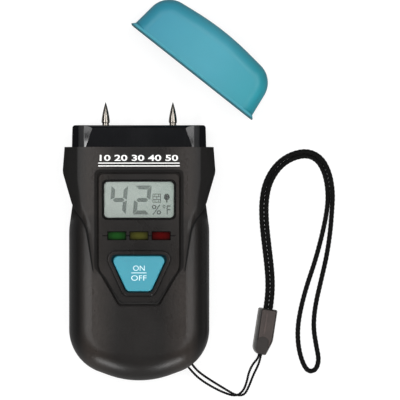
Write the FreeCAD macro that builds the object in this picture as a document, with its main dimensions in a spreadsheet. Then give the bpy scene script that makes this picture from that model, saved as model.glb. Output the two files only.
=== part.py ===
"""Pin-type moisture meter with wrist strap and pin cap, as separate pieces in one frame.

Millimetres. The meter lies on its flat back: +Z points out of the display, +Y along the pins,
and the origin is the middle of the back face, under the point where the display column crosses it.
"""
import FreeCAD, Part
import math
import os

import Sketcher

Vector = FreeCAD.Vector

# ---------------------------------------------------------------------------------------------
# Driving sizes
# ---------------------------------------------------------------------------------------------
SIZES = {
    # housing, plan view
    "shoulder_y": 41.3,         # flat top end of the housing, where the cap's mouth stops
    "shoulder_half": 26.3,      # half width at the shoulder
    "wing_y": 32.5,             # where the wings are widest
    "wing_half": 27.0,
    "waist_y": 21.1,            # notch between wing and grip
    "waist_half": 23.7,
    "vest_bend_y": 15.7,        # the wing's edge turns onto the front here
    "vest_bend_half": 20.5,
    "vest_bend_radius": 14.0,
    "waist_radius": 8.0,
    "wing_radius": 6.0,
    "vest_foot_y": -3.2,        # lower end of the vest, under the front surface
    "vest_foot_half": 18.2,
    "grip_half": 24.8,          # half width of the lower body
    "grip_top_y": 12.5,         # where the grip's side starts to lean in under the wing
    "grip_neck_y": 24.0,
    "grip_neck_half": 23.2,
    "base_y": -41.2,            # lowest point of the rounded end
    "base_rise": 9.0,           # how much higher the end's corners lie than its middle
    "base_radius": 32.0,
    "base_corner_radius": 16.0,
    # housing, depth
    "ground": 0.0,              # back face
    "split_z": 11.0,            # parting line between the shells
    "front_z": 23.0,            # crest of the front surface
    "crown_radius": 200.0,      # crown of the front, across the width
    "vest_lift": 0.2,           # the vest stands this much proud of the grips
    "grip_roll": 9.0,           # roll-off of the lower body's front edge
    "vest_roll": 3.4,           # roll-off of the vest's front edge
    "grip_back_roll": 5.0,
    "vest_back_roll": 3.2,
    "grip_blend": 20.0,         # bend of the grip's side under the wing
    # housing, inside
    "back_wall": 2.0,
    "roof_z": 20.5,             # inner face of the front wall
    "bay_half": 20.2,           # electronics bay
    "bay_foot_y": -14.5,
    "end_wall": 1.9,            # wall at the shoulder, around the electrode head's neck
    "cell_bay_half": 14.7,
    "cell_bay_foot_y": -31.6,
    "cell_roof_z": 17.0,
    # recessed front panel
    "panel_half": 14.85,
    "panel_top_y": 32.4,
    "panel_knee_y": -1.6,
    "panel_foot_y": -14.9,
    "panel_foot_half": 7.16,
    "panel_z": 22.2,
    "groove_width": 0.7,
    "groove_floor_z": 21.3,
    "ridge_width": 0.55,        # fine ridge along the panel's edge, inside the groove
    "ridge_z": 22.5,
    "ridge_edge": 0.15,
    "panel_corner": 1.6,
    "panel_knee_radius": 6.0,
    # display
    "view_half": 12.35,
    "view_low_y": 16.3,
    "view_high_y": 29.1,
    "view_corner": 1.5,
    "lens_rim": 0.65,           # lens overlap outside the view on every side
    "lens_gap": 0.1,
    "lens_thick": 1.0,
    "lens_inset": 0.1,          # lens face below the panel
    "lens_corner": 1.8,
    "glass_margin": 2.4,        # display glass beyond the view
    "glass_thick": 2.0,
    "holder_gap": 0.15,
    "holder_wall": 1.0,
    "strip_width": 1.5,
    "strip_inset": 0.3,         # contact strip from the display glass's edge
    # lamps
    "lamp_pitch": 7.8,
    "lamp_y": 10.0,
    "lamp_long": 6.1,
    "lamp_wide": 2.5,
    "lamp_gap": 0.3,
    "lamp_flange": 0.5,
    "lamp_flange_thick": 0.8,
    "lamp_inset": 0.3,
    "lamp_chip_thick": 1.2,
    "lamp_chip_long": 3.2,
    "lamp_chip_wide": 2.0,
    "score_half": 12.9,         # engraved line through the lamp row
    "score_width": 0.3,
    "score_depth": 0.25,
    # button
    "key_top_y": 2.9,
    "key_top_half": 10.0,
    "key_foot_y": -9.5,
    "key_foot_half": 4.25,
    "key_corner": 1.8,
    "key_top_z": 23.8,
    "key_gap": 0.55,
    "key_rim": 1.25,
    "key_rim_z": 22.9,
    "key_rim_edge": 0.4,
    "key_flange": 1.15,
    "key_flange_thick": 0.8,
    "key_travel": 0.8,
    "key_play": 0.1,
    "key_edge": 0.5,
    # circuit board and switch
    "board_z": 14.6,
    "board_thick": 1.6,
    "board_half": 19.3,
    "board_top_y": 33.0,
    "board_foot_y": -13.4,
    "switch_size": 6.0,
    "switch_tall": 2.5,
    "switch_y": -2.0,
    "plunger_radius": 1.7,
    "plunger_play": 0.05,
    "plunger_hold": 1.4,        # length of the plunger inside the switch
    "chip_size": 7.0,
    "chip_y": 17.5,
    "chip_tall": 1.5,
    # electrode head and pins
    "head_top_y": 49.0,
    "head_base_half": 23.7,
    "head_lean": 0.2,           # how far each side leans in towards the top
    "head_back_z": 1.6,
    "head_front_z": 21.4,
    "head_corner": 1.0,
    "head_back_roll": 4.5,
    "head_front_roll": 1.4,
    "facet_top_half": 15.7,     # inner edge of the slanted facet, at the head's top
    "facet_base_half": 19.1,
    "facet_drop": 1.8,
    "roll_top_half": 18.8,      # inner edge of the steep facet
    "roll_base_half": 20.2,
    "roll_drop": 3.6,
    "neck_half": 17.4,
    "neck_back_z": 5.0,
    "neck_front_z": 18.0,
    "neck_play": 0.1,
    "flange_half": 19.9,
    "flange_thick": 2.2,
    "pin_half_pitch": 11.9,
    "pin_z": 11.5,
    "pin_radius": 1.45,
    "pin_tip_y": 57.2,
    "pin_cone_y": 50.7,
    "pin_collar_y": 49.8,
    "pin_collar_edge": 0.25,
    "pin_ogive": 30.0,          # radius of the point's bulged side
    "pin_tip_radius": 0.06,
    "shank_radius": 1.2,
    "shank_play": 0.05,
    "nut_radius": 2.5,          # across the corners
    "nut_thick": 2.0,
    "shank_end_y": 33.9,
    "tab_thick": 0.4,
    "tab_radius": 2.6,
    "tab_half": 1.25,
    "tab_reach_y": 30.8,
    # power
    "cell_radius": 5.8,
    "cell_long": 5.4,
    "cell_y": -24.0,
    "cell_z": 9.6,
    "cell_play": 0.15,
    "cell_pole_tall": 0.5,      # raised pole on the end of each cell
    "cell_pole_inset": 1.2,
    "tray_half": 14.2,
    "tray_wide": 7.0,
    "tray_foot_z": 5.0,
    "plate_thick": 0.4,
    "plate_half": 3.6,
    "leaf_room": 2.2,           # depth that the leaf spring takes beside the cells
    "leaf_thick": 0.3,
    "leaf_half": 2.6,
    "leaf_drop": 2.4,           # free end below the middle of the cells
    # battery door
    "door_half": 13.0,
    "door_top_y": -9.0,
    "door_gap": 0.25,
    "door_inset": 0.2,          # door face above the table
    "tongue": 1.2,
    "tongue_thick": 1.2,
    "tongue_play": 0.2,
    "rib_half": 7.2,            # grip grooves in the door
    "rib_pitch": 1.6,
    "rib_wide": 0.8,
    "rib_depth": 0.5,
    "rib_start": 4.2,
    # screws
    "screw_x": 22.7,
    "screw_y": 32.5,
    "low_screw_x": 18.9,
    "low_screw_y": -23.5,
    "screw_radius": 1.1,
    "screw_head_radius": 2.1,
    "screw_head_thick": 1.6,
    "screw_sunk": 1.0,
    "screw_top_z": 17.0,
    "screw_play": 0.1,
    "slot_half": 0.3,           # cross slot in the screw heads
    "slot_reach": 1.25,
    "board_screw_x": 17.9,
    "board_screw_y": 29.4,
    "low_board_screw_y": -10.6,
    "board_screw_radius": 0.9,
    "board_screw_head": 1.8,
    "board_screw_thick": 1.2,
    "board_screw_top_z": 19.2,
    "boss_radius": 1.9,
    # strap eye
    "eye_x": 16.3,
    "eye_y": -33.6,
    "post_radius": 0.55,
    "eye_floor_z": 4.3,
    "eye_roof_z": 7.1,
    "eye_half": 1.75,
    "eye_depth": 1.8,           # from the post to the notch's inner end
    "eye_turn": 31.0,           # the eye's mouth turns this far from -Y towards +X, degrees
    # cap
    "cap_gap": 0.3,
    "cap_half": 26.4,
    "cap_lean": 2.0,            # how far each side leans in towards the top
    "cap_tall": 18.3,
    "cap_crown_rise": 2.9,      # how much lower the corners lie than the middle
    "cap_crown_radius": 100.0,
    "cap_corner": 8.6,
    "cap_wall": 1.0,
    "cap_top_wall": 1.3,
    "cap_front_roll": 5.0,
    "cap_back_roll": 3.4,
    "lip_flare": 1.0,           # the mouth's lip stands this much proud of the cap
    "lip_tall": 1.4,
    "lip_edge": 0.15,
    "swing": 38.35,             # turn from the seated cap to where it lies, degrees
    "pole_x": 47.0,             # the turn's centre
    "pole_y": 28.0,
    # strap
    "string_dia": 0.85,
    "cord_dia": 1.6,
    "strand_gap": 0.1,
    "clip_x": 44.46,
    "clip_y": -24.25,
    "clip_long": 16.5,
    "clip_half": 3.45,
    "clip_foot_half": 1.7,
    "clip_taper_y": 3.1,        # the right side leans in from this far below the middle
    "clip_taper_radius": 5.0,
    "clip_bend": 3.0,           # radius of the left side's turn into the foot
    "clip_corner": 0.6,
    "clip_base_thick": 1.7,
    "clip_thick": 3.2,
    "clip_lift": 0.1,
    "clip_tilt": 8.8,
    "clip_edge": 0.6,
    "lid_step": 1.3,           # the lid leaves this much of the base free on its left
    "lid_inset": 0.2,
    "thumb_half": 2.1,          # thumb recess at the lid's foot
    "thumb_top": 1.8,
    "thumb_corner": 1.9,
    "thumb_depth": 0.35,
    "clip_rib_half": 0.3,
    "clip_rib_tall": 0.2,
    "clip_rib_low": 0.9,
    "clip_rib_high": 6.6,
}

doc = FreeCAD.newDocument("moisture_meter")
sheet = doc.addObject("Spreadsheet::Sheet", "Sizes")
for row, (alias, number) in enumerate(SIZES.items(), start=1):
    sheet.set(f"A{row}", alias)
    sheet.set(f"B{row}", str(number))
    sheet.setAlias(f"B{row}", alias)
doc.recompute()

NODES = {}

# Allowances in the making of the solids. They leave no trace on a finished piece.
PAST = "1"      # how far a cutting tool reaches past the face that it opens
SINK = "0.3"    # how far a piece reaches into the one that it is joined to
FAR = "5"       # how far a tool reaches past the whole housing


def size(alias):
    """Return one driving size as a number."""
    return float(sheet.get(alias))


def expand(text):
    """Write the sheet's name before every alias in an expression."""
    words = []
    word = ""
    for letter in str(text) + " ":
        if letter.isalnum() or letter == "_" or (letter == "." and word.isdigit()):
            word += letter
            continue
        words.append("Sizes." + word if word in SIZES else word)
        words.append(letter)
        word = ""
    return "".join(words).strip()


def bind(item, **formulas):
    """Bind properties of an object to expressions over the sheet."""
    for name, text in formulas.items():
        item.setExpression(name.replace("__", "."), expand(text))
    return item


def node(name, item):
    """Name the object that makes one piece."""
    item.Label = name
    NODES[name] = item
    return item


# ---------------------------------------------------------------------------------------------
# Building blocks
# ---------------------------------------------------------------------------------------------
def box(name, x, y, z):
    """Box between pairs of expressions on each axis."""
    item = doc.addObject("Part::Box", name)
    for side, axis, (low, high) in zip(("Length", "Width", "Height"), "xyz", (x, y, z)):
        bind(item, **{side: f"({high}) - ({low})", f"Placement__Base__{axis}": low})
    return item


def wide_box(name, half, y, z):
    """Box that is symmetric about the YZ plane."""
    return box(name, (f"-({half})", half), y, z)


def upright(name, radius, x, y, z):
    """Cylinder along Z."""
    item = doc.addObject("Part::Cylinder", name)
    return bind(item, Radius=radius, Height=f"({z[1]}) - ({z[0]})",
                Placement__Base__x=x, Placement__Base__y=y, Placement__Base__z=z[0])


def along_y(name, radius, x, y, z):
    """Cylinder along +Y."""
    item = doc.addObject("Part::Cylinder", name)
    item.Placement = FreeCAD.Placement(Vector(), FreeCAD.Rotation(Vector(1, 0, 0), -90))
    return bind(item, Radius=radius, Height=f"({y[1]}) - ({y[0]})",
                Placement__Base__x=x, Placement__Base__y=y[0], Placement__Base__z=z)


def along_x(name, radius, x, y, z):
    """Cylinder along +X."""
    item = doc.addObject("Part::Cylinder", name)
    item.Placement = FreeCAD.Placement(Vector(), FreeCAD.Rotation(Vector(0, 1, 0), 90))
    return bind(item, Radius=radius, Height=f"({x[1]}) - ({x[0]})",
                Placement__Base__x=x[0], Placement__Base__y=y, Placement__Base__z=z)


def turn(item, pivot, offset, angle):
    """Turn an item about Z by a bound angle and put its origin at pivot + turned offset."""
    item.Placement = FreeCAD.Placement(item.Placement.Base, FreeCAD.Rotation(Vector(0, 0, 1), 1))
    (px, py), (dx, dy) = pivot, offset
    return bind(item, Placement__Rotation__Angle=angle,
                Placement__Base__x=f"{px} + ({dx}) * cos({angle}) - ({dy}) * sin({angle})",
                Placement__Base__y=f"{py} + ({dx}) * sin({angle}) + ({dy}) * cos({angle})")


def fuse(name, pieces):
    """Join pieces into one."""
    item = doc.addObject("Part::MultiFuse", name)
    item.Shapes = pieces
    item.Refine = True
    return item


def cut(name, base, tools):
    """Take the tools from the base."""
    item = doc.addObject("Part::Cut", name)
    item.Base = base
    item.Tool = tools[0] if len(tools) == 1 else fuse(name + "_tools", tools)
    return item


def new_body(name):
    """Start a PartDesign body."""
    return doc.addObject("PartDesign::Body", name)


def attach(body, name, plane, lift="0"):
    """Add a sketch on one of the body's own origin planes, moved along the plane's normal."""
    sketch = body.newObject("Sketcher::SketchObject", name)
    support = next(item for item in body.Origin.OriginFeatures if item.Role == plane)
    sketch.AttachmentSupport = (support, [""])
    sketch.MapMode = "FlatFace"
    bind(sketch, AttachmentOffset__Base__z=lift)
    return sketch


def place_vertex(sketch, tag, line, formulas, start=(1.0, 1.0)):
    """Hold the start of a line at a pair of expressions from the sketch's origin."""
    for kind, axis, text, first in zip(("DistanceX", "DistanceY"), "xy", formulas, start):
        rule = sketch.addConstraint(Sketcher.Constraint(kind, -1, 1, line, 1, first))
        sketch.renameConstraint(rule, f"{axis}_{tag}")
        sketch.setExpression(f"Constraints.{axis}_{tag}", expand(text))


def polygon(body, name, plane, corners, lift="0"):
    """Closed polygon, one pair of expressions for each corner, counter-clockwise."""
    sketch = attach(body, name, plane, lift)
    count = len(corners)
    turn = 2 * math.pi / count
    ring = [Vector(math.cos(i * turn), math.sin(i * turn), 0) for i in range(count)]
    for i in range(count):
        sketch.addGeometry(Part.LineSegment(ring[i], ring[(i + 1) % count]), False)
    for i in range(count):
        sketch.addConstraint(Sketcher.Constraint("Coincident", i, 2, (i + 1) % count, 1))
        place_vertex(sketch, str(i), i, corners[i][:2])
    return sketch


def mirrored(right):
    """Full outline from its right half, given from the foot up to the top.

    A corner is (x, y) or (x, y, radius). The radius of a right corner serves its mirror image too.
    """
    left = [(f"-({corner[0]})", corner[1]) for corner in reversed(right) if corner[0] != "0"]
    return right + left


def pad(body, sketch, length, taper="0"):
    """Raise a sketch along its normal."""
    item = body.newObject("PartDesign::Pad", sketch.Name + "_pad")
    item.Profile = sketch
    return bind(item, Length=length, TaperAngle=taper)


def round_edges(body, chosen, radius):
    """Fillet the edges of the body's last solid that a test picks."""
    doc.recompute()
    base = body.Tip
    names = [f"Edge{i}" for i, edge in enumerate(base.Shape.Edges, start=1) if chosen(edge)]
    item = body.newObject("PartDesign::Fillet", f"{body.Name}_round_{len(body.Group)}")
    item.Base = (base, names)
    bind(item, Radius=radius)
    doc.recompute()
    return item


def upright_at(point):
    """Test for the vertical edges through a point of the plan, and through its mirror image."""
    def test(edge):
        ends = [vertex.Point for vertex in edge.Vertexes]
        if len(ends) < 2 or abs(ends[0].z - ends[1].z) < 0.5:
            return False
        return all(math.hypot(abs(p.x) - abs(point.x), p.y - point.y) < 0.01 for p in ends)
    return test


def all_in_plane(z):
    """Test for the edges that lie in one level plane."""
    def test(edge):
        bounds = edge.BoundBox
        return abs(bounds.ZMin - z) < 1e-4 and abs(bounds.ZMax - z) < 1e-4
    return test


def prism(name, corners, z):
    """Body raised from a plan outline, with the upright edges rounded at the corners that say so."""
    body = new_body(name)
    sketch = polygon(body, name + "_plan", "XY_Plane", corners, z[0])
    pad(body, sketch, f"({z[1]}) - ({z[0]})")
    doc.recompute()
    places = [line.StartPoint for line in sketch.Geometry]
    for place, corner in zip(places, corners):
        for radius in corner[2:]:
            round_edges(body, upright_at(place), radius)
    return body


def across(edge, levels):
    """Tell whether an edge runs straight across the body at one of the Y levels."""
    bounds = edge.BoundBox
    return any(abs(bounds.YMin - y) < 0.01 and abs(bounds.YMax - y) < 0.01 for y in levels)


def on_crown(body):
    """Test for the edges around the crowned front face."""
    doc.recompute()
    faces = [face for face in body.Tip.Shape.Faces
             if isinstance(face.Surface, Part.Cylinder) and face.Surface.Radius > size("crown_radius") / 2]
    edges = [edge for face in faces for edge in face.Edges]

    def test(edge):
        return any(edge.isSame(other) for other in edges)
    return test


def cut_crown(body, lift):
    """Cut the front of a body to a crowned surface whose crest lies at front_z + lift."""
    sketch = attach(body, body.Name + "_crown", "XZ_Plane")
    reach = size("wing_half") + float(FAR)
    crest = size("front_z")
    radius = size("crown_radius")
    top = size("front_z") + float(FAR)
    lean = math.asin(reach / radius)
    low = crest - radius * (1 - math.cos(lean))
    centre = Vector(0, crest - radius, 0)
    sketch.addGeometry(Part.ArcOfCircle(Part.Circle(centre, Vector(0, 0, 1), radius),
                                        math.pi / 2 - lean, math.pi / 2 + lean), False)
    ring = [Vector(-reach, low, 0), Vector(-reach, top, 0), Vector(reach, top, 0), Vector(reach, low, 0)]
    for start, end in zip(ring[:-1], ring[1:]):
        sketch.addGeometry(Part.LineSegment(start, end), False)
    for rule in (("Coincident", 0, 2, 1, 1), ("Coincident", 1, 2, 2, 1), ("Coincident", 2, 2, 3, 1),
                 ("Coincident", 3, 2, 0, 1), ("Vertical", 1), ("Vertical", 3)):
        sketch.addConstraint(Sketcher.Constraint(*rule))
    for tag, rule, text in (("centre_x", ("DistanceX", -1, 1, 0, 3, 0.0), "0"),
                            ("centre_y", ("DistanceY", -1, 1, 0, 3, centre.y),
                             f"front_z + {lift} - crown_radius"),
                            ("radius", ("Radius", 0, radius), "crown_radius"),
                            ("left", ("DistanceX", -1, 1, 2, 1, -reach), f"-(wing_half + {FAR})"),
                            ("right", ("DistanceX", -1, 1, 2, 2, reach), f"wing_half + {FAR}"),
                            ("top_a", ("DistanceY", -1, 1, 2, 1, top), f"front_z + {FAR}"),
                            ("top_b", ("DistanceY", -1, 1, 2, 2, top), f"front_z + {FAR}")):
        number = sketch.addConstraint(Sketcher.Constraint(*rule))
        sketch.renameConstraint(number, tag)
        sketch.setExpression(f"Constraints.{tag}", expand(text))
    pocket = body.newObject("PartDesign::Pocket", body.Name + "_crown_cut")
    pocket.Profile = sketch
    pocket.Type = "ThroughAll"
    pocket.Midplane = True
    doc.recompute()


# ---------------------------------------------------------------------------------------------
# Housing
# ---------------------------------------------------------------------------------------------
BASE_APEX = "(base_y - base_radius * (sqrt(1 + (base_rise / grip_half) ^ 2) - 1))"
BAY_TOP = "(shoulder_y - end_wall)"

GRIP_PLAN = mirrored([("0", BASE_APEX, "base_radius"),
                      ("grip_half", f"{BASE_APEX} + base_rise", "base_corner_radius"),
                      ("grip_half", "grip_top_y", "grip_blend"),
                      ("grip_neck_half", "grip_neck_y", "grip_blend"),
                      ("grip_neck_half", f"shoulder_y - {FAR}")])

VEST_PLAN = mirrored([("vest_foot_half", "vest_foot_y"),
                      ("vest_bend_half", "vest_bend_y", "vest_bend_radius"),
                      ("waist_half", "waist_y", "waist_radius"),
                      ("wing_half", "wing_y", "wing_radius"),
                      ("shoulder_half", "shoulder_y")])


def housing_half(name, plan, z, roll, lift=None, ends=()):
    """One moulded half of the lower body or of the vest; its edge is rolled except at the ends."""
    body = prism(name, plan, z)
    if lift is not None:
        cut_crown(body, lift)
    rim = all_in_plane(size("ground")) if lift is None else on_crown(body)
    round_edges(body, lambda edge: rim(edge) and not across(edge, ends), roll)
    return body


def panel_plan(gap):
    """Outline of the front panel, inset by a gap."""
    slope = "((panel_half - panel_foot_half) / (panel_knee_y - panel_foot_y))"
    lean = f"sqrt(1 + {slope} ^ 2)"
    return mirrored([(f"panel_foot_half - ({gap}) * ({lean} - {slope})", f"panel_foot_y + {gap}",
                      "panel_corner"),
                     (f"panel_half - {gap}", f"panel_knee_y + ({gap}) * ({lean} - 1) / {slope}",
                      "panel_knee_radius"),
                     (f"panel_half - {gap}", f"panel_top_y - {gap}", "panel_corner")])


def key_plan(gap, radius="key_corner"):
    """Outline of the button, grown by a gap."""
    slope = "((key_top_half - key_foot_half) / (key_top_y - key_foot_y))"
    lean = f"sqrt(1 + {slope} ^ 2)"
    return mirrored([(f"key_foot_half + ({gap}) * ({lean} - {slope})", f"key_foot_y - ({gap})", radius),
                     (f"key_top_half + ({gap}) * ({lean} + {slope})", f"key_top_y + {gap}", radius)])


def view_plan(grow, radius):
    """Outline of the display's view, grown on every side."""
    return mirrored([(f"view_half + {grow}", f"view_low_y - ({grow})", radius),
                     (f"view_half + {grow}", f"view_high_y + {grow}", radius)])


BOARD_TOP = "(board_z + board_thick)"
LENS_SEAT = "(panel_z - lens_inset - lens_thick)"
ABOVE = f"(front_z + {FAR})"
SCREW_PLACES = [(f"{side}{x}", y) for x, y in (("screw_x", "screw_y"), ("low_screw_x", "low_screw_y"))
                for side in ("-", "")]
BOARD_SCREW_PLACES = [(f"{side}board_screw_x", y) for y in ("board_screw_y", "low_board_screw_y")
                      for side in ("-", "")]


def bays(name, z_floor, z_roof, z_cell_roof):
    """The electronics bay, the battery bay and the opening for the electrode head's neck."""
    return [
        wide_box(name + "_bay", "bay_half", ("bay_foot_y", BAY_TOP), (z_floor, z_roof)),
        wide_box(name + "_cell_bay", "cell_bay_half", ("cell_bay_foot_y", f"bay_foot_y + {PAST}"),
                 (z_floor, z_cell_roof)),
        wide_box(name + "_neck", "neck_half + neck_play", (f"{BAY_TOP} - {PAST}", f"shoulder_y + {PAST}"),
                 ("neck_back_z - neck_play", "neck_front_z + neck_play")),
    ]


def lamp_box(name, number, spread, z):
    """Box around one lamp's place; number is -1, 0 or 1."""
    centre = f"{number} * lamp_pitch"
    return box(name, (f"{centre} - lamp_long / 2 - {spread}", f"{centre} + lamp_long / 2 + {spread}"),
               (f"lamp_y - lamp_wide / 2 - {spread}", f"lamp_y + lamp_wide / 2 + {spread}"), z)


def make_front_shell():
    """Front moulding: crowned grip and vest, recessed panel, window, lamp windows, button rim."""
    z = ("split_z", ABOVE)
    grip = housing_half("grip_front", GRIP_PLAN, z, "grip_roll", "0")
    vest = housing_half("vest_front", VEST_PLAN, z, "vest_roll", "vest_lift",
                        (size("shoulder_y"), size("vest_foot_y")))
    hollow = bays("front", f"split_z - {PAST}", "roof_z", "cell_roof_z")
    groove = prism("panel_groove", panel_plan("0"), ("groove_floor_z", ABOVE))
    shell = cut("front_hollowed", fuse("front_solid", [grip, vest]), hollow + [groove])

    land = prism("panel_land", panel_plan("groove_width"), (f"groove_floor_z - {SINK}", "ridge_z"))
    round_edges(land, all_in_plane(size("ridge_z")), "ridge_edge")
    field = prism("panel_field", panel_plan("groove_width + ridge_width"), ("panel_z", ABOVE))
    panel = cut("panel_stepped", land, [field])
    rim = prism("key_rim_land", key_plan("key_gap + key_rim", "key_corner + key_rim"),
                ("roof_z", "key_rim_z"))
    round_edges(rim, all_in_plane(size("key_rim_z")), "key_rim_edge")
    bosses = [upright(f"board_boss_{i}", "boss_radius", x, y, (BOARD_TOP, f"roof_z + {SINK}"))
              for i, (x, y) in enumerate(BOARD_SCREW_PLACES)]
    shell = fuse("front_built", [shell, panel, rim] + bosses)

    tools = [
        prism("view_hole", view_plan("0", "view_corner"), (f"roof_z - {PAST}", ABOVE)),
        prism("lens_seat", view_plan("lens_rim + lens_gap", "lens_corner + lens_gap"), (LENS_SEAT, ABOVE)),
        wide_box("score", "score_half", ("lamp_y - score_width / 2", "lamp_y + score_width / 2"),
                 ("panel_z - score_depth", ABOVE)),
        prism("key_hole", key_plan("key_gap"), (f"roof_z - {PAST}", ABOVE)),
    ]
    tools += [lamp_box(f"lamp_hole_{i}", i - 1, "lamp_gap", (f"roof_z - {PAST}", ABOVE)) for i in range(3)]
    tools += [upright(f"front_bore_{i}", "screw_radius + screw_play", x, y,
                      (f"split_z - {PAST}", "screw_top_z + screw_play"))
              for i, (x, y) in enumerate(SCREW_PLACES)]
    tools += [upright(f"boss_bore_{i}", "board_screw_radius + screw_play", x, y,
                      (f"{BOARD_TOP} - {PAST}", "board_screw_top_z + screw_play"))
              for i, (x, y) in enumerate(BOARD_SCREW_PLACES)]
    return node("front_shell", cut("front_shell_cut", shell, tools))


def make_rear_outer(name):
    """Outer form of the rear half, without any opening."""
    z = ("ground", "split_z")
    grip = housing_half(name + "_grip", GRIP_PLAN, z, "grip_back_roll")
    vest = housing_half(name + "_vest", VEST_PLAN, z, "vest_back_roll",
                        ends=(size("shoulder_y"), size("vest_foot_y")))
    return fuse(name, [grip, vest])


TONGUE_Z = "(back_wall + door_inset)"
TONGUE_TOP = f"({TONGUE_Z} + tongue_thick)"
RIB_COUNT = 4


def door_boxes(name, gap, play, low_z):
    """Plate and tongues of the battery door, grown by a gap, and the tongues down by their play."""
    foot = f"base_y - {FAR}"
    return [
        wide_box(name + "_plate", f"door_half + {gap}", (foot, f"door_top_y + {gap}"),
                 (low_z, f"{TONGUE_Z} + {SINK}")),
        wide_box(name + "_tongue", f"door_half + tongue + {gap}",
                 (foot, f"door_top_y - tongue + {gap}"), (f"{TONGUE_Z} - {play}", f"{TONGUE_TOP} + {gap}")),
    ]


def make_rear_shell():
    """Rear moulding: battery opening with slots for the door's tongues, screw wells, strap eye."""
    notch = doc.addObject("Part::Box", "eye_notch")
    out = "eye_x"
    bind(notch, Length="2 * eye_half", Width=f"eye_depth + {out}", Height="eye_roof_z - eye_floor_z",
         Placement__Base__z="eye_floor_z")
    turn(notch, ("eye_x", "eye_y"), ("-eye_half", f"-{out}"), "eye_turn")
    above = f"split_z + {PAST}"
    below = f"-{PAST}"
    tools = bays("rear", "back_wall", above, above)
    tools += door_boxes("door_slot", "door_gap", "tongue_play", below) + [notch]
    for i, (x, y) in enumerate(SCREW_PLACES):
        tools.append(upright(f"rear_bore_{i}", "screw_radius + screw_play", x, y, (below, above)))
        tools.append(upright(f"screw_well_{i}", "screw_head_radius + screw_play", x, y,
                             (below, "screw_sunk + screw_head_thick")))
    shell = cut("rear_cut", make_rear_outer("rear_outer"), tools)
    post = upright("strap_post", "post_radius", "eye_x", "eye_y",
                   (f"eye_floor_z - {SINK}", f"eye_roof_z + {SINK}"))
    return node("rear_shell", fuse("rear_shell_post", [shell, post]))


def make_battery_door():
    """Sliding door: the part of the rear form that its plate and tongues take out of it."""
    door = doc.addObject("Part::Common", "battery_door_form")
    door.Base = make_rear_outer("door_outer")
    door.Tool = fuse("door_blank", door_boxes("door", "0", "0", "door_inset"))
    ribs = [wide_box(f"door_rib_{i}", "rib_half",
                     (f"door_top_y - rib_start - {i} * rib_pitch - rib_wide",
                      f"door_top_y - rib_start - {i} * rib_pitch"),
                     (f"door_inset - {PAST}", "door_inset + rib_depth")) for i in range(RIB_COUNT)]
    return node("battery_door", cut("battery_door_cut", door, ribs))


def make_screws():
    """Four housing screws from the back and four small ones under the circuit board."""
    screws = []
    for i, (x, y) in enumerate(SCREW_PLACES):
        seat = "screw_sunk + screw_head_thick"
        head = upright(f"screw_head_{i}", "screw_head_radius", x, y, ("screw_sunk", seat))
        shank = upright(f"screw_shank_{i}", "screw_radius", x, y, (seat, "screw_top_z"))
        slots = [box(f"screw_slot_{i}_{k}", (f"{x} - {a}", f"{x} + {a}"), (f"{y} - {b}", f"{y} + {b}"),
                     (f"screw_sunk - {PAST}", "screw_sunk + screw_head_thick / 2"))
                 for k, (a, b) in enumerate((("slot_half", "slot_reach"), ("slot_reach", "slot_half")))]
        screws.append(cut(f"screw_{i}", fuse(f"screw_form_{i}", [head, shank]), slots))
    node("housing_screws", fuse("housing_screw_set", screws))

    small = []
    for i, (x, y) in enumerate(BOARD_SCREW_PLACES):
        head = upright(f"board_screw_head_{i}", "board_screw_head", x, y,
                       ("board_z - board_screw_thick", "board_z"))
        shank = upright(f"board_screw_shank_{i}", "board_screw_radius", x, y,
                        ("board_z", "board_screw_top_z"))
        small.append(fuse(f"board_screw_{i}", [head, shank]))
    node("board_screws", fuse("board_screw_set", small))


# ---------------------------------------------------------------------------------------------
# Display, lamps, button and circuit board
# ---------------------------------------------------------------------------------------------
GLASS_LOW = "(view_low_y - glass_margin)"
GLASS_HIGH = "(view_high_y + glass_margin)"
GLASS_Z = "(roof_z - glass_thick)"
CHIP_TOP = f"({BOARD_TOP} + lamp_chip_thick)"


def make_display():
    """Window, display glass, its holder and the two contact strips under it."""
    window = prism("window_body", view_plan("lens_rim", "lens_corner"), (LENS_SEAT, "panel_z - lens_inset"))
    node("display_window", window)
    glass = wide_box("glass", "view_half + glass_margin", (GLASS_LOW, GLASS_HIGH), (GLASS_Z, "roof_z"))
    node("lcd_panel", glass)

    def frame(name, grow, z):
        return wide_box(name, f"view_half + glass_margin + {grow}",
                        (f"{GLASS_LOW} - ({grow})", f"{GLASS_HIGH} + {grow}"), z)

    outer = frame("holder_outer", "holder_gap + holder_wall", (BOARD_TOP, "roof_z"))
    inner = frame("holder_inner", "holder_gap", (f"{BOARD_TOP} - {PAST}", f"roof_z + {PAST}"))
    node("lcd_holder", cut("holder", outer, [inner]))

    strips = [wide_box("strip_low", "view_half",
                       (f"{GLASS_LOW} + strip_inset", f"{GLASS_LOW} + strip_inset + strip_width"),
                       (BOARD_TOP, GLASS_Z)),
              wide_box("strip_high", "view_half",
                       (f"{GLASS_HIGH} - strip_inset - strip_width", f"{GLASS_HIGH} - strip_inset"),
                       (BOARD_TOP, GLASS_Z))]
    node("contact_strips", fuse("contact_strip_pair", strips))


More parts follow.
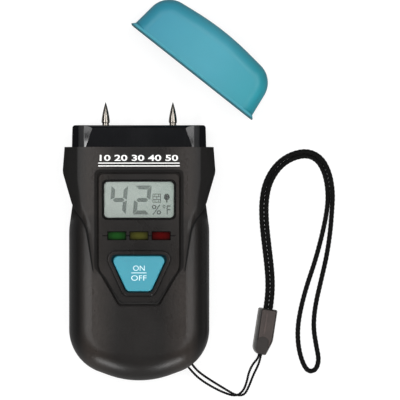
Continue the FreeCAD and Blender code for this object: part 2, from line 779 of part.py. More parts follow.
def make_lamps():
    """Three coloured light guides and the lamp chips that light them."""
    chips = []
    for i, colour in enumerate(("green", "yellow", "red")):
        column = lamp_box(f"lamp_column_{i}", i - 1, "0", (CHIP_TOP, "panel_z - lamp_inset"))
        flange = lamp_box(f"lamp_flange_{i}", i - 1, "lamp_flange", ("roof_z - lamp_flange_thick", "roof_z"))
        node(f"light_guide_{colour}", fuse(f"light_guide_{i}", [column, flange]))
        centre = f"{i - 1} * lamp_pitch"
        chips.append(box(f"chip_{i}", (f"{centre} - lamp_chip_long / 2", f"{centre} + lamp_chip_long / 2"),
                         ("lamp_y - lamp_chip_wide / 2", "lamp_y + lamp_chip_wide / 2"),
                         (BOARD_TOP, CHIP_TOP)))
    node("lamp_chips", fuse("lamp_chip_set", chips))


KEY_FLANGE_TOP = "(roof_z - key_play)"
KEY_FLANGE_LOW = f"({KEY_FLANGE_TOP} - key_flange_thick)"
SWITCH_TOP = f"({BOARD_TOP} + switch_tall)"


def make_button():
    """Button cap with its flange under the front wall, and the switch that it presses."""
    cap = prism("key_cap", key_plan("0"), (f"{KEY_FLANGE_TOP} - {SINK}", "key_top_z"))
    round_edges(cap, all_in_plane(size("key_top_z")), "key_edge")
    flange = prism("key_flange_form", key_plan("key_flange"), (KEY_FLANGE_LOW, KEY_FLANGE_TOP))
    node("set_button", fuse("set_button_form", [cap, flange]))

    half = "switch_size / 2"
    switch = box("switch_block", (f"-{half}", half), (f"switch_y - {half}", f"switch_y + {half}"),
                 (BOARD_TOP, SWITCH_TOP))
    low = f"{SWITCH_TOP} - plunger_hold"
    bore = upright("switch_bore", "plunger_radius + plunger_play", "0", "switch_y",
                   (f"{low} - key_travel - key_play", f"{SWITCH_TOP} + {PAST}"))
    node("button_switch", cut("button_switch_cut", switch, [bore]))
    node("switch_plunger", upright("plunger", "plunger_radius", "0", "switch_y", (low, KEY_FLANGE_LOW)))


def make_board():
    """Circuit board with its screw holes, and the measuring chip under it."""
    board = wide_box("board_blank", "board_half", ("board_foot_y", "board_top_y"), ("board_z", BOARD_TOP))
    holes = [upright(f"board_hole_{i}", "board_screw_radius + screw_play", x, y,
                     (f"board_z - {PAST}", f"{BOARD_TOP} + {PAST}"))
             for i, (x, y) in enumerate(BOARD_SCREW_PLACES)]
    node("circuit_board", cut("board", board, holes))
    node("measuring_chip", wide_box("chip_block", "chip_size / 2",
                                    ("chip_y - chip_size / 2", "chip_y + chip_size / 2"),
                                    ("board_z - chip_tall", "board_z")))


# ---------------------------------------------------------------------------------------------
# Electrodes
# ---------------------------------------------------------------------------------------------
FLANGE_FRONT = f"({BAY_TOP} - neck_play)"
FLANGE_BACK = f"({FLANGE_FRONT} - flange_thick)"


def facet_tool(name, side, top_half, base_half, drop):
    """Wedge that cuts one slanted facet along a side of the head's front."""
    sections = []
    for part, level, inner in (("base", f"shoulder_y - {PAST}", base_half),
                               ("top", f"head_top_y + {PAST}", top_half)):
        body = new_body(f"{name}_{part}")
        corners = [(f"{side} * ({inner})", "head_front_z"),
                   (f"{side} * (head_base_half + {PAST})", f"head_front_z - {drop}"),
                   (f"{side} * (head_base_half + {PAST})", f"head_front_z + {PAST}"),
                   (f"{side} * ({inner})", f"head_front_z + {PAST}")]
        sections.append(polygon(body, f"{name}_{part}_profile", "XZ_Plane", corners, f"-({level})"))
    loft = doc.addObject("Part::Loft", name)
    loft.Sections = sections
    loft.Solid = True
    loft.Ruled = True
    return loft


def make_head():
    """Electrode head: faceted block outside, neck through the shells, flange behind their end wall."""
    block = prism("head_block", [("-head_base_half", "shoulder_y"), ("head_base_half", "shoulder_y"),
                                 ("head_base_half - head_lean", "head_top_y", "head_corner"),
                                 ("-(head_base_half - head_lean)", "head_top_y")],
                  ("head_back_z", "head_front_z"))
    base = (size("shoulder_y"),)
    for level, roll in (("head_back_z", "head_back_roll"), ("head_front_z", "head_front_roll")):
        flat = all_in_plane(size(level))
        round_edges(block, lambda edge: flat(edge) and not across(edge, base), roll)
    wedges = []
    for side in ("1", "-1"):
        tag = "right" if side == "1" else "left"
        wedges.append(facet_tool(f"facet_{tag}", side, "facet_top_half", "facet_base_half", "facet_drop"))
        wedges.append(facet_tool(f"roll_{tag}", side, "roll_top_half", "roll_base_half", "roll_drop"))
    faceted = cut("head_faceted", block, wedges)
    neck = wide_box("head_neck", "neck_half", (FLANGE_BACK, f"shoulder_y + {SINK}"),
                    ("neck_back_z", "neck_front_z"))
    flange = wide_box("head_flange", "flange_half", (FLANGE_BACK, FLANGE_FRONT),
                      ("back_wall + neck_play", "roof_z - neck_play"))
    bores = [along_y(f"pin_bore_{i}", "shank_radius + shank_play", f"{side}pin_half_pitch",
                     (f"{FLANGE_BACK} - {PAST}", f"head_top_y + {PAST}"), "pin_z")
             for i, side in enumerate(("-", ""))]
    node("electrode_head", cut("head", fuse("head_form", [faceted, neck, flange]), bores))


def pin_profile(body, name):
    """Half outline of one electrode pin: shank, collar and bulged point, about the Y axis."""
    sketch = attach(body, name, "XY_Plane")
    corners = [("0", "shank_end_y"), ("shank_radius", "shank_end_y"), ("shank_radius", "pin_collar_y"),
               ("pin_radius", "pin_collar_y + pin_collar_edge"), ("pin_radius", "pin_cone_y"),
               ("pin_tip_radius", "pin_tip_y"), ("0", "pin_tip_y")]
    guess = [Vector(0, size("shank_end_y"), 0), Vector(size("shank_radius"), size("shank_end_y"), 0),
             Vector(size("shank_radius"), size("pin_collar_y"), 0),
             Vector(size("pin_radius"), size("pin_collar_y") + size("pin_collar_edge"), 0),
             Vector(size("pin_radius"), size("pin_cone_y"), 0),
             Vector(size("pin_tip_radius"), size("pin_tip_y"), 0), Vector(0, size("pin_tip_y"), 0)]
    count = len(corners)
    bulge = 4
    for i in range(count):
        start, end = guess[i], guess[(i + 1) % count]
        if i == bulge:
            chord = end - start
            rise = size("pin_ogive") - math.sqrt(size("pin_ogive") ** 2 - (chord.Length / 2) ** 2)
            outward = Vector(chord.y, -chord.x, 0).normalize()
            sketch.addGeometry(Part.Arc(start, (start + end) / 2 + outward * rise, end), False)
        else:
            sketch.addGeometry(Part.LineSegment(start, end), False)
    for i in range(count):
        sketch.addConstraint(Sketcher.Constraint("Coincident", i, 2, (i + 1) % count, 1))
        place_vertex(sketch, str(i), i, corners[i], (guess[i].x, guess[i].y))
    radius = sketch.addConstraint(Sketcher.Constraint("Radius", bulge, size("pin_ogive")))
    sketch.renameConstraint(radius, "bulge")
    sketch.setExpression("Constraints.bulge", expand("pin_ogive"))
    return sketch


def make_pins():
    """Two electrode pins with their nuts and the spring tabs that carry them to the board."""
    nuts = []
    for side, tag in (("-", "left"), ("", "right")):
        body = new_body(f"pin_{tag}")
        sketch = pin_profile(body, f"pin_{tag}_profile")
        spin = body.newObject("PartDesign::Revolution", f"pin_{tag}_turned")
        spin.Profile = sketch
        spin.ReferenceAxis = (sketch, ["V_Axis"])
        spin.Angle = 360
        bind(body, Placement__Base__x=f"{side}pin_half_pitch", Placement__Base__z="pin_z")
        node(f"electrode_pin_{tag}", body)

        x = f"{side}pin_half_pitch"
        tab_front = FLANGE_BACK
        tab_back = f"({tab_front} - tab_thick)"
        reach = (f"shank_end_y - {FAR}", "shoulder_y")
        bore = along_y(f"tab_bore_{tag}", "shank_radius + shank_play", x, reach, "pin_z")
        ring = along_y(f"tab_ring_{tag}", "tab_radius", x, (tab_back, tab_front), "pin_z")
        leg = box(f"tab_leg_{tag}", (f"{x} - tab_half", f"{x} + tab_half"), (tab_back, tab_front),
                  ("pin_z", "board_z"))
        foot = box(f"tab_foot_{tag}", (f"{x} - tab_half", f"{x} + tab_half"), ("tab_reach_y", tab_front),
                   ("board_z - tab_thick", "board_z"))
        node(f"pin_terminal_{tag}", cut(f"terminal_{tag}", fuse(f"tab_{tag}", [ring, leg, foot]), [bore]))

        nut = doc.addObject("Part::Prism", f"nut_{tag}")
        nut.Polygon = 6
        nut.Placement = FreeCAD.Placement(Vector(), FreeCAD.Rotation(Vector(1, 0, 0), -90))
        bind(nut, Circumradius="nut_radius", Height="nut_thick", Placement__Base__x=x,
             Placement__Base__y=f"{tab_back} - nut_thick", Placement__Base__z="pin_z")
        nut_bore = along_y(f"nut_bore_{tag}", "shank_radius", x, reach, "pin_z")
        nuts.append(cut(f"nut_bored_{tag}", nut, [nut_bore]))
    node("pin_nuts", fuse("pin_nut_pair", nuts))


# ---------------------------------------------------------------------------------------------
# Power
# ---------------------------------------------------------------------------------------------
CELL_COUNT = 4
STACK_HALF = f"({CELL_COUNT} * cell_long / 2)"


def make_power():
    """Four button cells in a row, the tray over them, the contact plate and the leaf spring."""
    for i in range(CELL_COUNT):
        low = f"{i} * cell_long - {STACK_HALF}"
        high = f"{low} + cell_long"
        can = along_x(f"cell_can_{i}", "cell_radius", (low, f"{high} - cell_pole_tall"), "cell_y", "cell_z")
        pole = along_x(f"cell_pole_{i}", "cell_radius - cell_pole_inset", (f"{low} + {SINK}", high),
                       "cell_y", "cell_z")
        node(f"button_cell_{i + 1}", fuse(f"cell_{i}", [can, pole]))

    x = (f"-({STACK_HALF} + leaf_room)", f"{STACK_HALF} + plate_thick")
    block = box("tray_block", ("-tray_half", "tray_half"), ("cell_y - tray_wide", "cell_y + tray_wide"),
                ("tray_foot_z", "cell_roof_z"))
    trough = along_x("tray_trough", "cell_radius + cell_play", x, "cell_y", "cell_z")
    mouth = box("tray_mouth", x, ("cell_y - cell_radius - cell_play", "cell_y + cell_radius + cell_play"),
                (f"tray_foot_z - {PAST}", "cell_z"))
    node("battery_tray", cut("tray", block, [trough, mouth]))
    node("battery_plate", box("plate", (STACK_HALF, f"{STACK_HALF} + plate_thick"),
                              ("cell_y - plate_half", "cell_y + plate_half"),
                              ("cell_z - plate_half", "cell_z + plate_half")))

    root = f"(-{STACK_HALF} - leaf_room)"
    bend = f"({root} + leaf_room / 2)"
    top = "(cell_z + plate_half)"
    free = "(cell_z - leaf_drop)"
    leaf = new_body("leaf")
    sketch = polygon(leaf, "leaf_profile", "XZ_Plane",
                     [(root, "cell_z - plate_half"), (f"{root} + leaf_thick", "cell_z - plate_half"),
                      (f"{root} + leaf_thick", f"{top} - leaf_thick"), (bend, f"{top} - leaf_thick"),
                      (f"-{STACK_HALF} - leaf_thick", "cell_z"), (bend, free), (f"{bend} + leaf_thick", free),
                      (f"-{STACK_HALF}", "cell_z"), (f"{bend} + leaf_thick", top), (root, top)],
                     "-(cell_y + leaf_half)")
    pad(leaf, sketch, "2 * leaf_half")
    node("battery_spring", leaf)


# ---------------------------------------------------------------------------------------------
# Cap
# ---------------------------------------------------------------------------------------------
CAP_MOUTH = "(shoulder_y + cap_gap)"
CAP_INNER_BACK = "(head_back_z - cap_gap)"
CAP_INNER_FRONT = "(head_front_z + cap_gap)"
CAP_BACK = f"({CAP_INNER_BACK} - cap_wall)"
CAP_FRONT = f"({CAP_INNER_FRONT} + cap_wall)"


def cap_plan(wall, top_wall, mouth):
    """Outline of the cap as it sits on the head, inset by its walls."""
    apex = (f"({CAP_MOUTH} + cap_tall - ({top_wall})"
            " + cap_crown_radius * (sqrt(1 + (cap_crown_rise / (cap_half - cap_lean)) ^ 2) - 1))")
    return mirrored([(f"cap_half - {wall}", mouth),
                     (f"cap_half - cap_lean - {wall}", f"{apex} - cap_crown_rise", f"cap_corner - {wall}"),
                     ("0", apex, "cap_crown_radius")])


def pillow(name, wall, top_wall, mouth, z):
    """Drafted, crowned block with rolled front and back edges; the cap's form and its hollow."""
    body = prism(name, cap_plan(wall, top_wall, mouth), z)
    doc.recompute()
    bounds = body.Tip.Shape.BoundBox
    open_end = (bounds.YMin,)
    for level, roll in ((bounds.ZMax, f"cap_front_roll - {wall}"), (bounds.ZMin, f"cap_back_roll - {wall}")):
        flat = all_in_plane(level)
        round_edges(body, lambda edge: flat(edge) and not across(edge, open_end), roll)
    return body


def flare(name, half, z, grow):
    """Tapered block at the cap's mouth: grown at the mouth, inside its own size one lip above."""
    body = new_body(name)
    wide = f"{half} + {grow}"
    low, high = f"{z[0]} - {grow}", f"{z[1]} + {grow}"
    sketch = polygon(body, name + "_plan", "XZ_Plane",
                     [(f"-({wide})", low), (wide, low), (wide, high), (f"-({wide})", high)], f"-{CAP_MOUTH}")
    raised = pad(body, sketch, "lip_tall", f"-atan(({grow} + {SINK}) / lip_tall)")
    raised.Reversed = True
    doc.recompute()

    def slanted(edge):
        bounds = edge.BoundBox
        return bounds.YMax - bounds.YMin > size("lip_tall") * 0.9
    round_edges(body, slanted, "cap_back_roll - cap_wall")
    return body


def make_cap():
    """Cap in its seat on the head, then turned about the pole to where it lies."""
    form = pillow("cap_form", "0", "0", CAP_MOUTH, (CAP_BACK, CAP_FRONT))
    hollow = pillow("cap_hollow", "cap_wall", "cap_top_wall", f"{CAP_MOUTH} - {PAST}",
                    (CAP_INNER_BACK, CAP_INNER_FRONT))
    lip = flare("cap_lip", "cap_half", (f"{CAP_BACK} + lip_flare", CAP_FRONT), "lip_flare")
    mouth = flare("cap_mouth", "cap_half - cap_wall", (f"{CAP_INNER_BACK} + lip_flare", CAP_INNER_FRONT),
                  "lip_flare")
    opening = size("shoulder_y") + size("cap_gap")
    round_edges(lip, lambda edge: across(edge, (opening,)), "lip_edge")
    for body in (form, hollow, lip, mouth):
        turn(body, ("pole_x", "pole_y"), ("-pole_x", "-pole_y"), "(-swing)")
    node("pin_cap", cut("cap", fuse("cap_outside", [form, lip]), [hollow, mouth]))


# ---------------------------------------------------------------------------------------------
# Strap
# ---------------------------------------------------------------------------------------------
# The string runs from the clip round the post in the housing's eye and back; the cord leaves
# the clip's other end as two strands side by side, which part into the hand loop.
STRING_ROUTE = [
    (42.60, -31.70, 1.70), (42.30, -33.60, 1.60), (40.40, -35.60, 1.00), (38.90, -38.60, 0.45),
    (38.10, -42.40, 0.45), (36.90, -45.40, 0.45), (34.40, -47.30, 0.45), (30.30, -46.20, 0.45),
    (25.20, -43.60, 1.40), (21.30, -41.00, 3.00), (18.60, -38.30, 4.60), (16.70, -35.90, 5.60),
    (14.72, -33.20, 5.70), (16.70, -32.02, 5.70), (18.10, -34.90, 5.65), (19.80, -37.30, 4.60),
    (22.00, -39.30, 3.00), (26.00, -42.00, 1.30), (30.60, -44.80, 0.50), (34.20, -46.90, 1.60),
    (37.30, -46.90, 1.60), (39.00, -43.60, 0.50), (40.50, -39.60, 0.50), (42.30, -36.00, 1.20),
    (43.00, -33.50, 1.65), (43.30, -31.80, 1.70),
]
CORD_PAIR = [
    (45.70, -16.20, 1.70), (46.50, -11.00, 1.10), (46.40, -3.40, 0.80), (45.30, 5.80, 0.80),
    (44.30, 14.60, 0.80), (44.20, 22.40, 0.80), (45.60, 29.20, 0.80), (49.30, 35.00, 0.80),
    (54.20, 38.30, 0.80), (59.80, 39.40, 0.80), (64.20, 37.20, 0.80), (66.90, 32.00, 0.80),
    (68.00, 25.20, 0.80), (67.60, 18.60, 0.80),
]
CORD_LOOP = [
    (67.90, 11.40, 0.80), (66.60, 2.60, 0.80), (64.50, -6.40, 0.80), (62.50, -15.00, 0.80),
    (61.80, -22.60, 0.80), (62.90, -29.40, 0.80), (63.90, -34.40, 0.80), (62.70, -38.00, 0.80),
    (60.00, -38.50, 0.80), (58.00, -35.40, 0.80), (56.50, -29.80, 0.80), (56.20, -23.40, 0.80),
    (57.20, -16.60, 0.80), (59.40, -8.20, 0.80), (62.40, 0.60, 0.80), (64.80, 9.40, 0.80),
]


def beside(route, offset):
    """Move a route sideways in plan, to its left for a positive offset."""
    moved = []
    for i, point in enumerate(route):
        before = Vector(*route[max(i - 1, 0)])
        after = Vector(*route[min(i + 1, len(route) - 1)])
        along = after - before
        left = Vector(-along.y, along.x, 0).normalize()
        moved.append(tuple(Vector(*point) + left * offset))
    return moved


def cord_route():
    """The cord's points: up one strand of the pair, round the hand loop, back down the other."""
    offset = (size("cord_dia") + size("strand_gap")) / 2
    return beside(CORD_PAIR, offset) + CORD_LOOP + beside(CORD_PAIR, -offset)[::-1]


def tube(name, route, diameter):
    """Round tube along straight runs joined by tangent arcs."""
    points = [Vector(*point) for point in route]
    edges = []
    radii = []
    last = points[0]
    for before, corner, after in zip(points[:-2], points[1:-1], points[2:]):
        inward, outward = before - corner, after - corner
        half_turn = (math.pi - inward.getAngle(outward)) / 2
        reach = 0.45 * min(inward.Length, outward.Length)
        radius = reach / math.tan(half_turn)
        radii.append(radius)
        inward.normalize()
        outward.normalize()
        start, end = corner + inward * reach, corner + outward * reach
        middle = (inward + outward).normalize()
        apex = corner + middle * (radius / math.cos(half_turn) - radius)
        edges.append(Part.LineSegment(last, start).toShape())
        edges.append(Part.Arc(start, apex, end).toShape())
        last = end
    edges.append(Part.LineSegment(last, points[-1]).toShape())
    path = Part.Wire(edges)
    ring = Part.Wire([Part.makeCircle(diameter / 2, points[0], points[1] - points[0])])
    item = doc.addObject("Part::Feature", name + "_tube")
    item.Shape = path.makePipeShell([ring], True, False)
    ratio = item.Shape.Volume / (math.pi * diameter ** 2 / 4 * path.Length)
    print(f"{name}: length {path.Length:.1f}, volume ratio {ratio:.4f},",
          f"radii {min(radii):.2f} to {max(radii):.2f}:", " ".join(f"{r:.1f}" for r in radii))
    return node(name, item)


def make_strap():
    """Clip between the string and the cord, and the two cords."""
    low, high = "-clip_long / 2", "clip_long / 2"
    left, right = "-clip_half + lid_step", "clip_half - lid_inset"
    base = prism("clip_base", [("-clip_half", high, "clip_corner"), ("-clip_half", low, "clip_bend"),
                               ("clip_foot_half", low, "clip_corner"),
                               ("clip_half", "-clip_taper_y", "clip_taper_radius"),
                               ("clip_half", high)],
                 ("clip_lift", "clip_lift + clip_base_thick"))
    round_edges(base, all_in_plane(size("clip_lift") + size("clip_base_thick")), "clip_edge")
    lid = prism("clip_lid", [(left, f"{high} - lid_inset", "clip_corner"),
                             (left, f"{low} + lid_inset", "clip_bend / 2"),
                             ("clip_foot_half - lid_inset", f"{low} + lid_inset", "clip_corner"),
                             (right, "-clip_taper_y", "clip_taper_radius"),
                             (right, f"{high} - lid_inset", "clip_corner")],
                (f"clip_lift + clip_base_thick - {SINK}", "clip_lift + clip_thick"))
    round_edges(lid, all_in_plane(size("clip_lift") + size("clip_thick")), "clip_edge")
    thumb = prism("clip_thumb", mirrored([("thumb_half", f"{low} - {PAST}"),
                                          ("thumb_half", "-thumb_top", "thumb_corner")]),
                  ("clip_lift + clip_thick - thumb_depth", f"clip_lift + clip_thick + {PAST}"))
    rib = prism("clip_rib", mirrored([("clip_rib_half", "-clip_rib_low"), ("clip_rib_half", "clip_rib_high")]),
                (f"clip_lift + clip_thick - {SINK}", "clip_lift + clip_thick + clip_rib_tall"))
    for body in (base, lid, thumb, rib):
        turn(body, ("clip_x", "clip_y"), ("0", "0"), "(-clip_tilt)")
    node("strap_clip", fuse("clip", [base, cut("clip_lid_cut", lid, [thumb]), rib]))
    tube("strap_string", STRING_ROUTE, size("string_dia"))
    tube("wrist_cord", cord_route(), size("cord_dia"))


# ---------------------------------------------------------------------------------------------
# Build, check and export
# ---------------------------------------------------------------------------------------------
def main():
    """Build every piece, check the document and write one STEP file for each piece."""
    for build in (make_front_shell, make_rear_shell, make_battery_door, make_screws, make_display,
                  make_lamps, make_button, make_board, make_head, make_pins, make_power, make_cap,
                  make_strap):
        build()
    doc.recompute()
    for item in doc.Objects:
        if "Invalid" in item.State or "Error" in item.State:
            raise RuntimeError(f"{item.Label} failed: {item.State}")
    for name, item in NODES.items():
        if item.Shape.isNull() or not item.Shape.isValid():
            raise RuntimeError(f"{name} has no valid shape")
    os.makedirs("parts", exist_ok=True)
    for name, item in NODES.items():
        item.Shape.exportStep(os.path.join("parts", name + ".step"))
    print(f"{len(NODES)} pieces written")


main()
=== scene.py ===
"""Looks of a pin-type moisture meter with its wrist strap and its pin cap.

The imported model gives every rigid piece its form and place. This script dresses those pieces,
adds the print, the display's picture and the cords, and sets up a plain studio around them.
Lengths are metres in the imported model's frame; sizes written in millimetres say so.
"""
import logging
import math
from dataclasses import dataclass, replace
from enum import Enum
from typing import Any, Callable, Sequence

import bpy
import numpy as np
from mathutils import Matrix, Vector


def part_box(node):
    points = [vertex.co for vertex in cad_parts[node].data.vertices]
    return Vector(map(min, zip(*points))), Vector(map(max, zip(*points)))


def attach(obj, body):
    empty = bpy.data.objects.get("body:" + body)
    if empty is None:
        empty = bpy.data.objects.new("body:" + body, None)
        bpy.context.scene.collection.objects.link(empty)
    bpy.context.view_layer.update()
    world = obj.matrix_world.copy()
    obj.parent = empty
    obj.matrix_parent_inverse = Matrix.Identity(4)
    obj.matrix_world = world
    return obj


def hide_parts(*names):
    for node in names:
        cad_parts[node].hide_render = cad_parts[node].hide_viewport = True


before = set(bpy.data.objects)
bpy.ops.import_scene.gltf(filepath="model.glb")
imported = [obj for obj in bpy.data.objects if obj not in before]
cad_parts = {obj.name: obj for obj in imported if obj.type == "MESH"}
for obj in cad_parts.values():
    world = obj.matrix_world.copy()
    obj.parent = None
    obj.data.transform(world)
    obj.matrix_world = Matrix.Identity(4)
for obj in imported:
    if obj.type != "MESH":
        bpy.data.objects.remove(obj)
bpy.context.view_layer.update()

LOG = logging.getLogger("meter")
MM = 0.001
Colour = tuple[float, float, float, float]
Point = tuple[float, float, float]
Span = tuple[float, float]
Relief = Callable[[np.ndarray, np.ndarray], np.ndarray]
Socket = bpy.types.NodeSocket


# ---------------------------------------------------------------------------------------------
# Colours and shader graphs
# ---------------------------------------------------------------------------------------------
def paint(red: float, green: float, blue: float) -> Colour:
    """Turn a colour as it looks on a screen, 0 to 255 for each part, into scene light.

    Args:
        red: Red part.
        green: Green part.
        blue: Blue part.

    Returns:
        The linear colour with full cover.
    """
    def linear(part: float) -> float:
        """Undo the screen's curve for one part."""
        share = part / 255
        return share / 12.92 if share <= 0.04045 else ((share + 0.055) / 1.055) ** 2.4
    return linear(red), linear(green), linear(blue), 1.0


def shade(colour: Colour, factor: float) -> Colour:
    """Make a colour lighter or darker by a factor."""
    return colour[0] * factor, colour[1] * factor, colour[2] * factor, 1.0


class Nodes:
    """A node tree while it is put together."""

    def __init__(self, tree: bpy.types.NodeTree) -> None:
        """Start with an empty tree."""
        self.tree = tree
        tree.nodes.clear()

    def node(self, kind: str, inputs: dict[Any, Any] | None = None, **settings: Any) -> bpy.types.Node:
        """Add a node.

        Args:
            kind: The node's class name.
            inputs: Values or sockets for its inputs, by name or number.
            settings: The node's own properties.

        Returns:
            The new node.
        """
        made = self.tree.nodes.new(kind)
        for name, value in settings.items():
            setattr(made, name, value)
        for name, value in (inputs or {}).items():
            if isinstance(value, Socket):
                self.tree.links.new(value, made.inputs[name])
            else:
                made.inputs[name].default_value = value
        return made

    def maths(self, operation: str, *values: Any) -> Socket:
        """Combine values by an operation."""
        return self.node("ShaderNodeMath", dict(enumerate(values)), operation=operation).outputs[0]

    def plus(self, first: Any, second: Any) -> Socket:
        """Add two values."""
        return self.maths("ADD", first, second)

    def minus(self, first: Any, second: Any) -> Socket:
        """Take the second value from the first."""
        return self.maths("SUBTRACT", first, second)

    def unsigned(self, value: Socket) -> Socket:
        """Drop a value's sign."""
        return self.maths("ABSOLUTE", value)

    def times(self, first: Any, *others: Any) -> Socket:
        """Multiply two or more values.

        Args:
            first: The first value.
            others: What it is multiplied by.

        Returns:
            Their product.
        """
        for other in others:
            first = self.maths("MULTIPLY", first, other)
        return first

    def most(self, first: Any, second: Any) -> Socket:
        """Give the greater of two values."""
        return self.maths("MAXIMUM", first, second)

    def blend(self, factor: Socket, first: Socket, second: Socket) -> Socket:
        """Blend two shaders."""
        return self.node("ShaderNodeMixShader", {0: factor, 1: first, 2: second}).outputs[0]


class Graph(Nodes):
    """The node graph of one material while it is put together."""

    def __init__(self, name: str) -> None:
        """Start an empty material.

        Args:
            name: The material's name.
        """
        self.material = bpy.data.materials.new(name)
        self.material.use_nodes = True
        super().__init__(self.material.node_tree)
        self.output = self.node("ShaderNodeOutputMaterial")

    def place(self) -> Socket:
        """Give the point on the piece, in metres."""
        return self.node("ShaderNodeTexCoord").outputs["Object"]

    def parts(self) -> Sequence[Socket]:
        """Give the X, Y and Z of the point on the piece."""
        return self.node("ShaderNodeSeparateXYZ", {0: self.place()}).outputs

    def mapped(self, scale: Point, centre: Point = (0, 0, 0), turn: float = 0.0) -> Socket:
        """Give the point on the piece, stretched, moved to a centre and turned about Z."""
        moved = self.node("ShaderNodeVectorMath", {0: self.place(), 1: centre}, operation="SUBTRACT")
        return self.node("ShaderNodeMapping", {"Vector": moved.outputs[0], "Scale": scale,
                                               "Rotation": (0, 0, turn)}).outputs[0]

    def noise(self, size: float, detail: float = 2.0, roughness: float = 0.5,
              vector: Socket | None = None) -> Socket:
        """Give cloudy noise with blobs of a size in metres."""
        return self.node("ShaderNodeTexNoise", {"Vector": vector or self.place(), "Scale": 1 / size,
                                                "Detail": detail, "Roughness": roughness}).outputs["Fac"]

    def ramp(self, value: Socket, low: float, high: float, to_low: float = 0.0,
             to_high: float = 1.0) -> Socket:
        """Stretch the part of a value between two levels over another range, and clamp it there."""
        return self.node("ShaderNodeMapRange", {0: value, 1: low, 2: high, 3: to_low, 4: to_high}).outputs[0]

    def band(self, value: Socket, rise: Span, fall: Span, level: float = 1.0) -> Socket:
        """Give a level where a value lies between a rise and a fall, and 0 beyond them."""
        return self.times(self.ramp(value, *rise), self.ramp(value, *fall, level, 0))

    def mix(self, factor: Socket, first: Any, second: Any) -> Socket:
        """Blend two colours."""
        return self.node("ShaderNodeMix", {0: factor, 6: first, 7: second}, data_type="RGBA").outputs[2]

    def bump(self, height: Socket, depth: float, under: Socket | None = None) -> Socket:
        """Give the normal of a surface whose height varies.

        Args:
            height: The height, as a share of the depth.
            depth: The depth in metres.
            under: A normal that this one is laid over.

        Returns:
            The bumped normal.
        """
        inputs = {"Height": height, "Distance": depth, "Strength": 1.0}
        if under is not None:
            inputs["Normal"] = under
        return self.node("ShaderNodeBump", inputs).outputs[0]

    def shader(self, **inputs: Any) -> Socket:
        """Add a surface shader.

        Args:
            inputs: The shader's inputs, with _ for the spaces in their names.

        Returns:
            The shader's output.
        """
        named = {name.replace("_", " "): value for name, value in inputs.items()}
        return self.node("ShaderNodeBsdfPrincipled", named).outputs[0]

    def close(self, shader: Socket) -> bpy.types.Material:
        """Lead a shader to the output, and give the finished material."""
        self.tree.links.new(shader, self.output.inputs[0])
        return self.material

    def surface(self, **inputs: Any) -> bpy.types.Material:
        """Close the graph with a surface shader of these inputs."""
        return self.close(self.shader(**inputs))


# ---------------------------------------------------------------------------------------------
# Finishes
# ---------------------------------------------------------------------------------------------
# Near-black painted shade for hollows, grooves and creases.
PAINTED_SHADE = paint(3, 3, 3)


class Layer:
    """Something painted over a moulding's tone, such as wear or the dark of a hollow."""

    def apply(self, graph: Graph, tone: Socket) -> tuple[Socket, Any]:
        """Paint over a tone.

        Args:
            graph: The material's graph.
            tone: The tone so far.

        Returns:
            The changed tone, and the least roughness that the layer leaves.
        """
        raise NotImplementedError


@dataclass(frozen=True)
class Edge:
    """The groove along a sunk field's edge, with a painted lighter tone on its floor, and a soft painted
    shade beside it.

    The shade's middle lies outside the field's upright sides, and inside its leaning ones.
    """

    rounding: float = 3 * MM
    groove: Span = (0.6 * MM, 0.8 * MM)
    # Painted light: the groove's floor is lifted above the plastic's own colour to offset its real shadow.
    groove_painted_light: Colour = paint(38, 36, 35)
    shade: Span = (0.4 * MM, 0.75 * MM)
    shade_share: float = 0.7
    outside: float = 0.35 * MM
    inside: float = 0.75 * MM


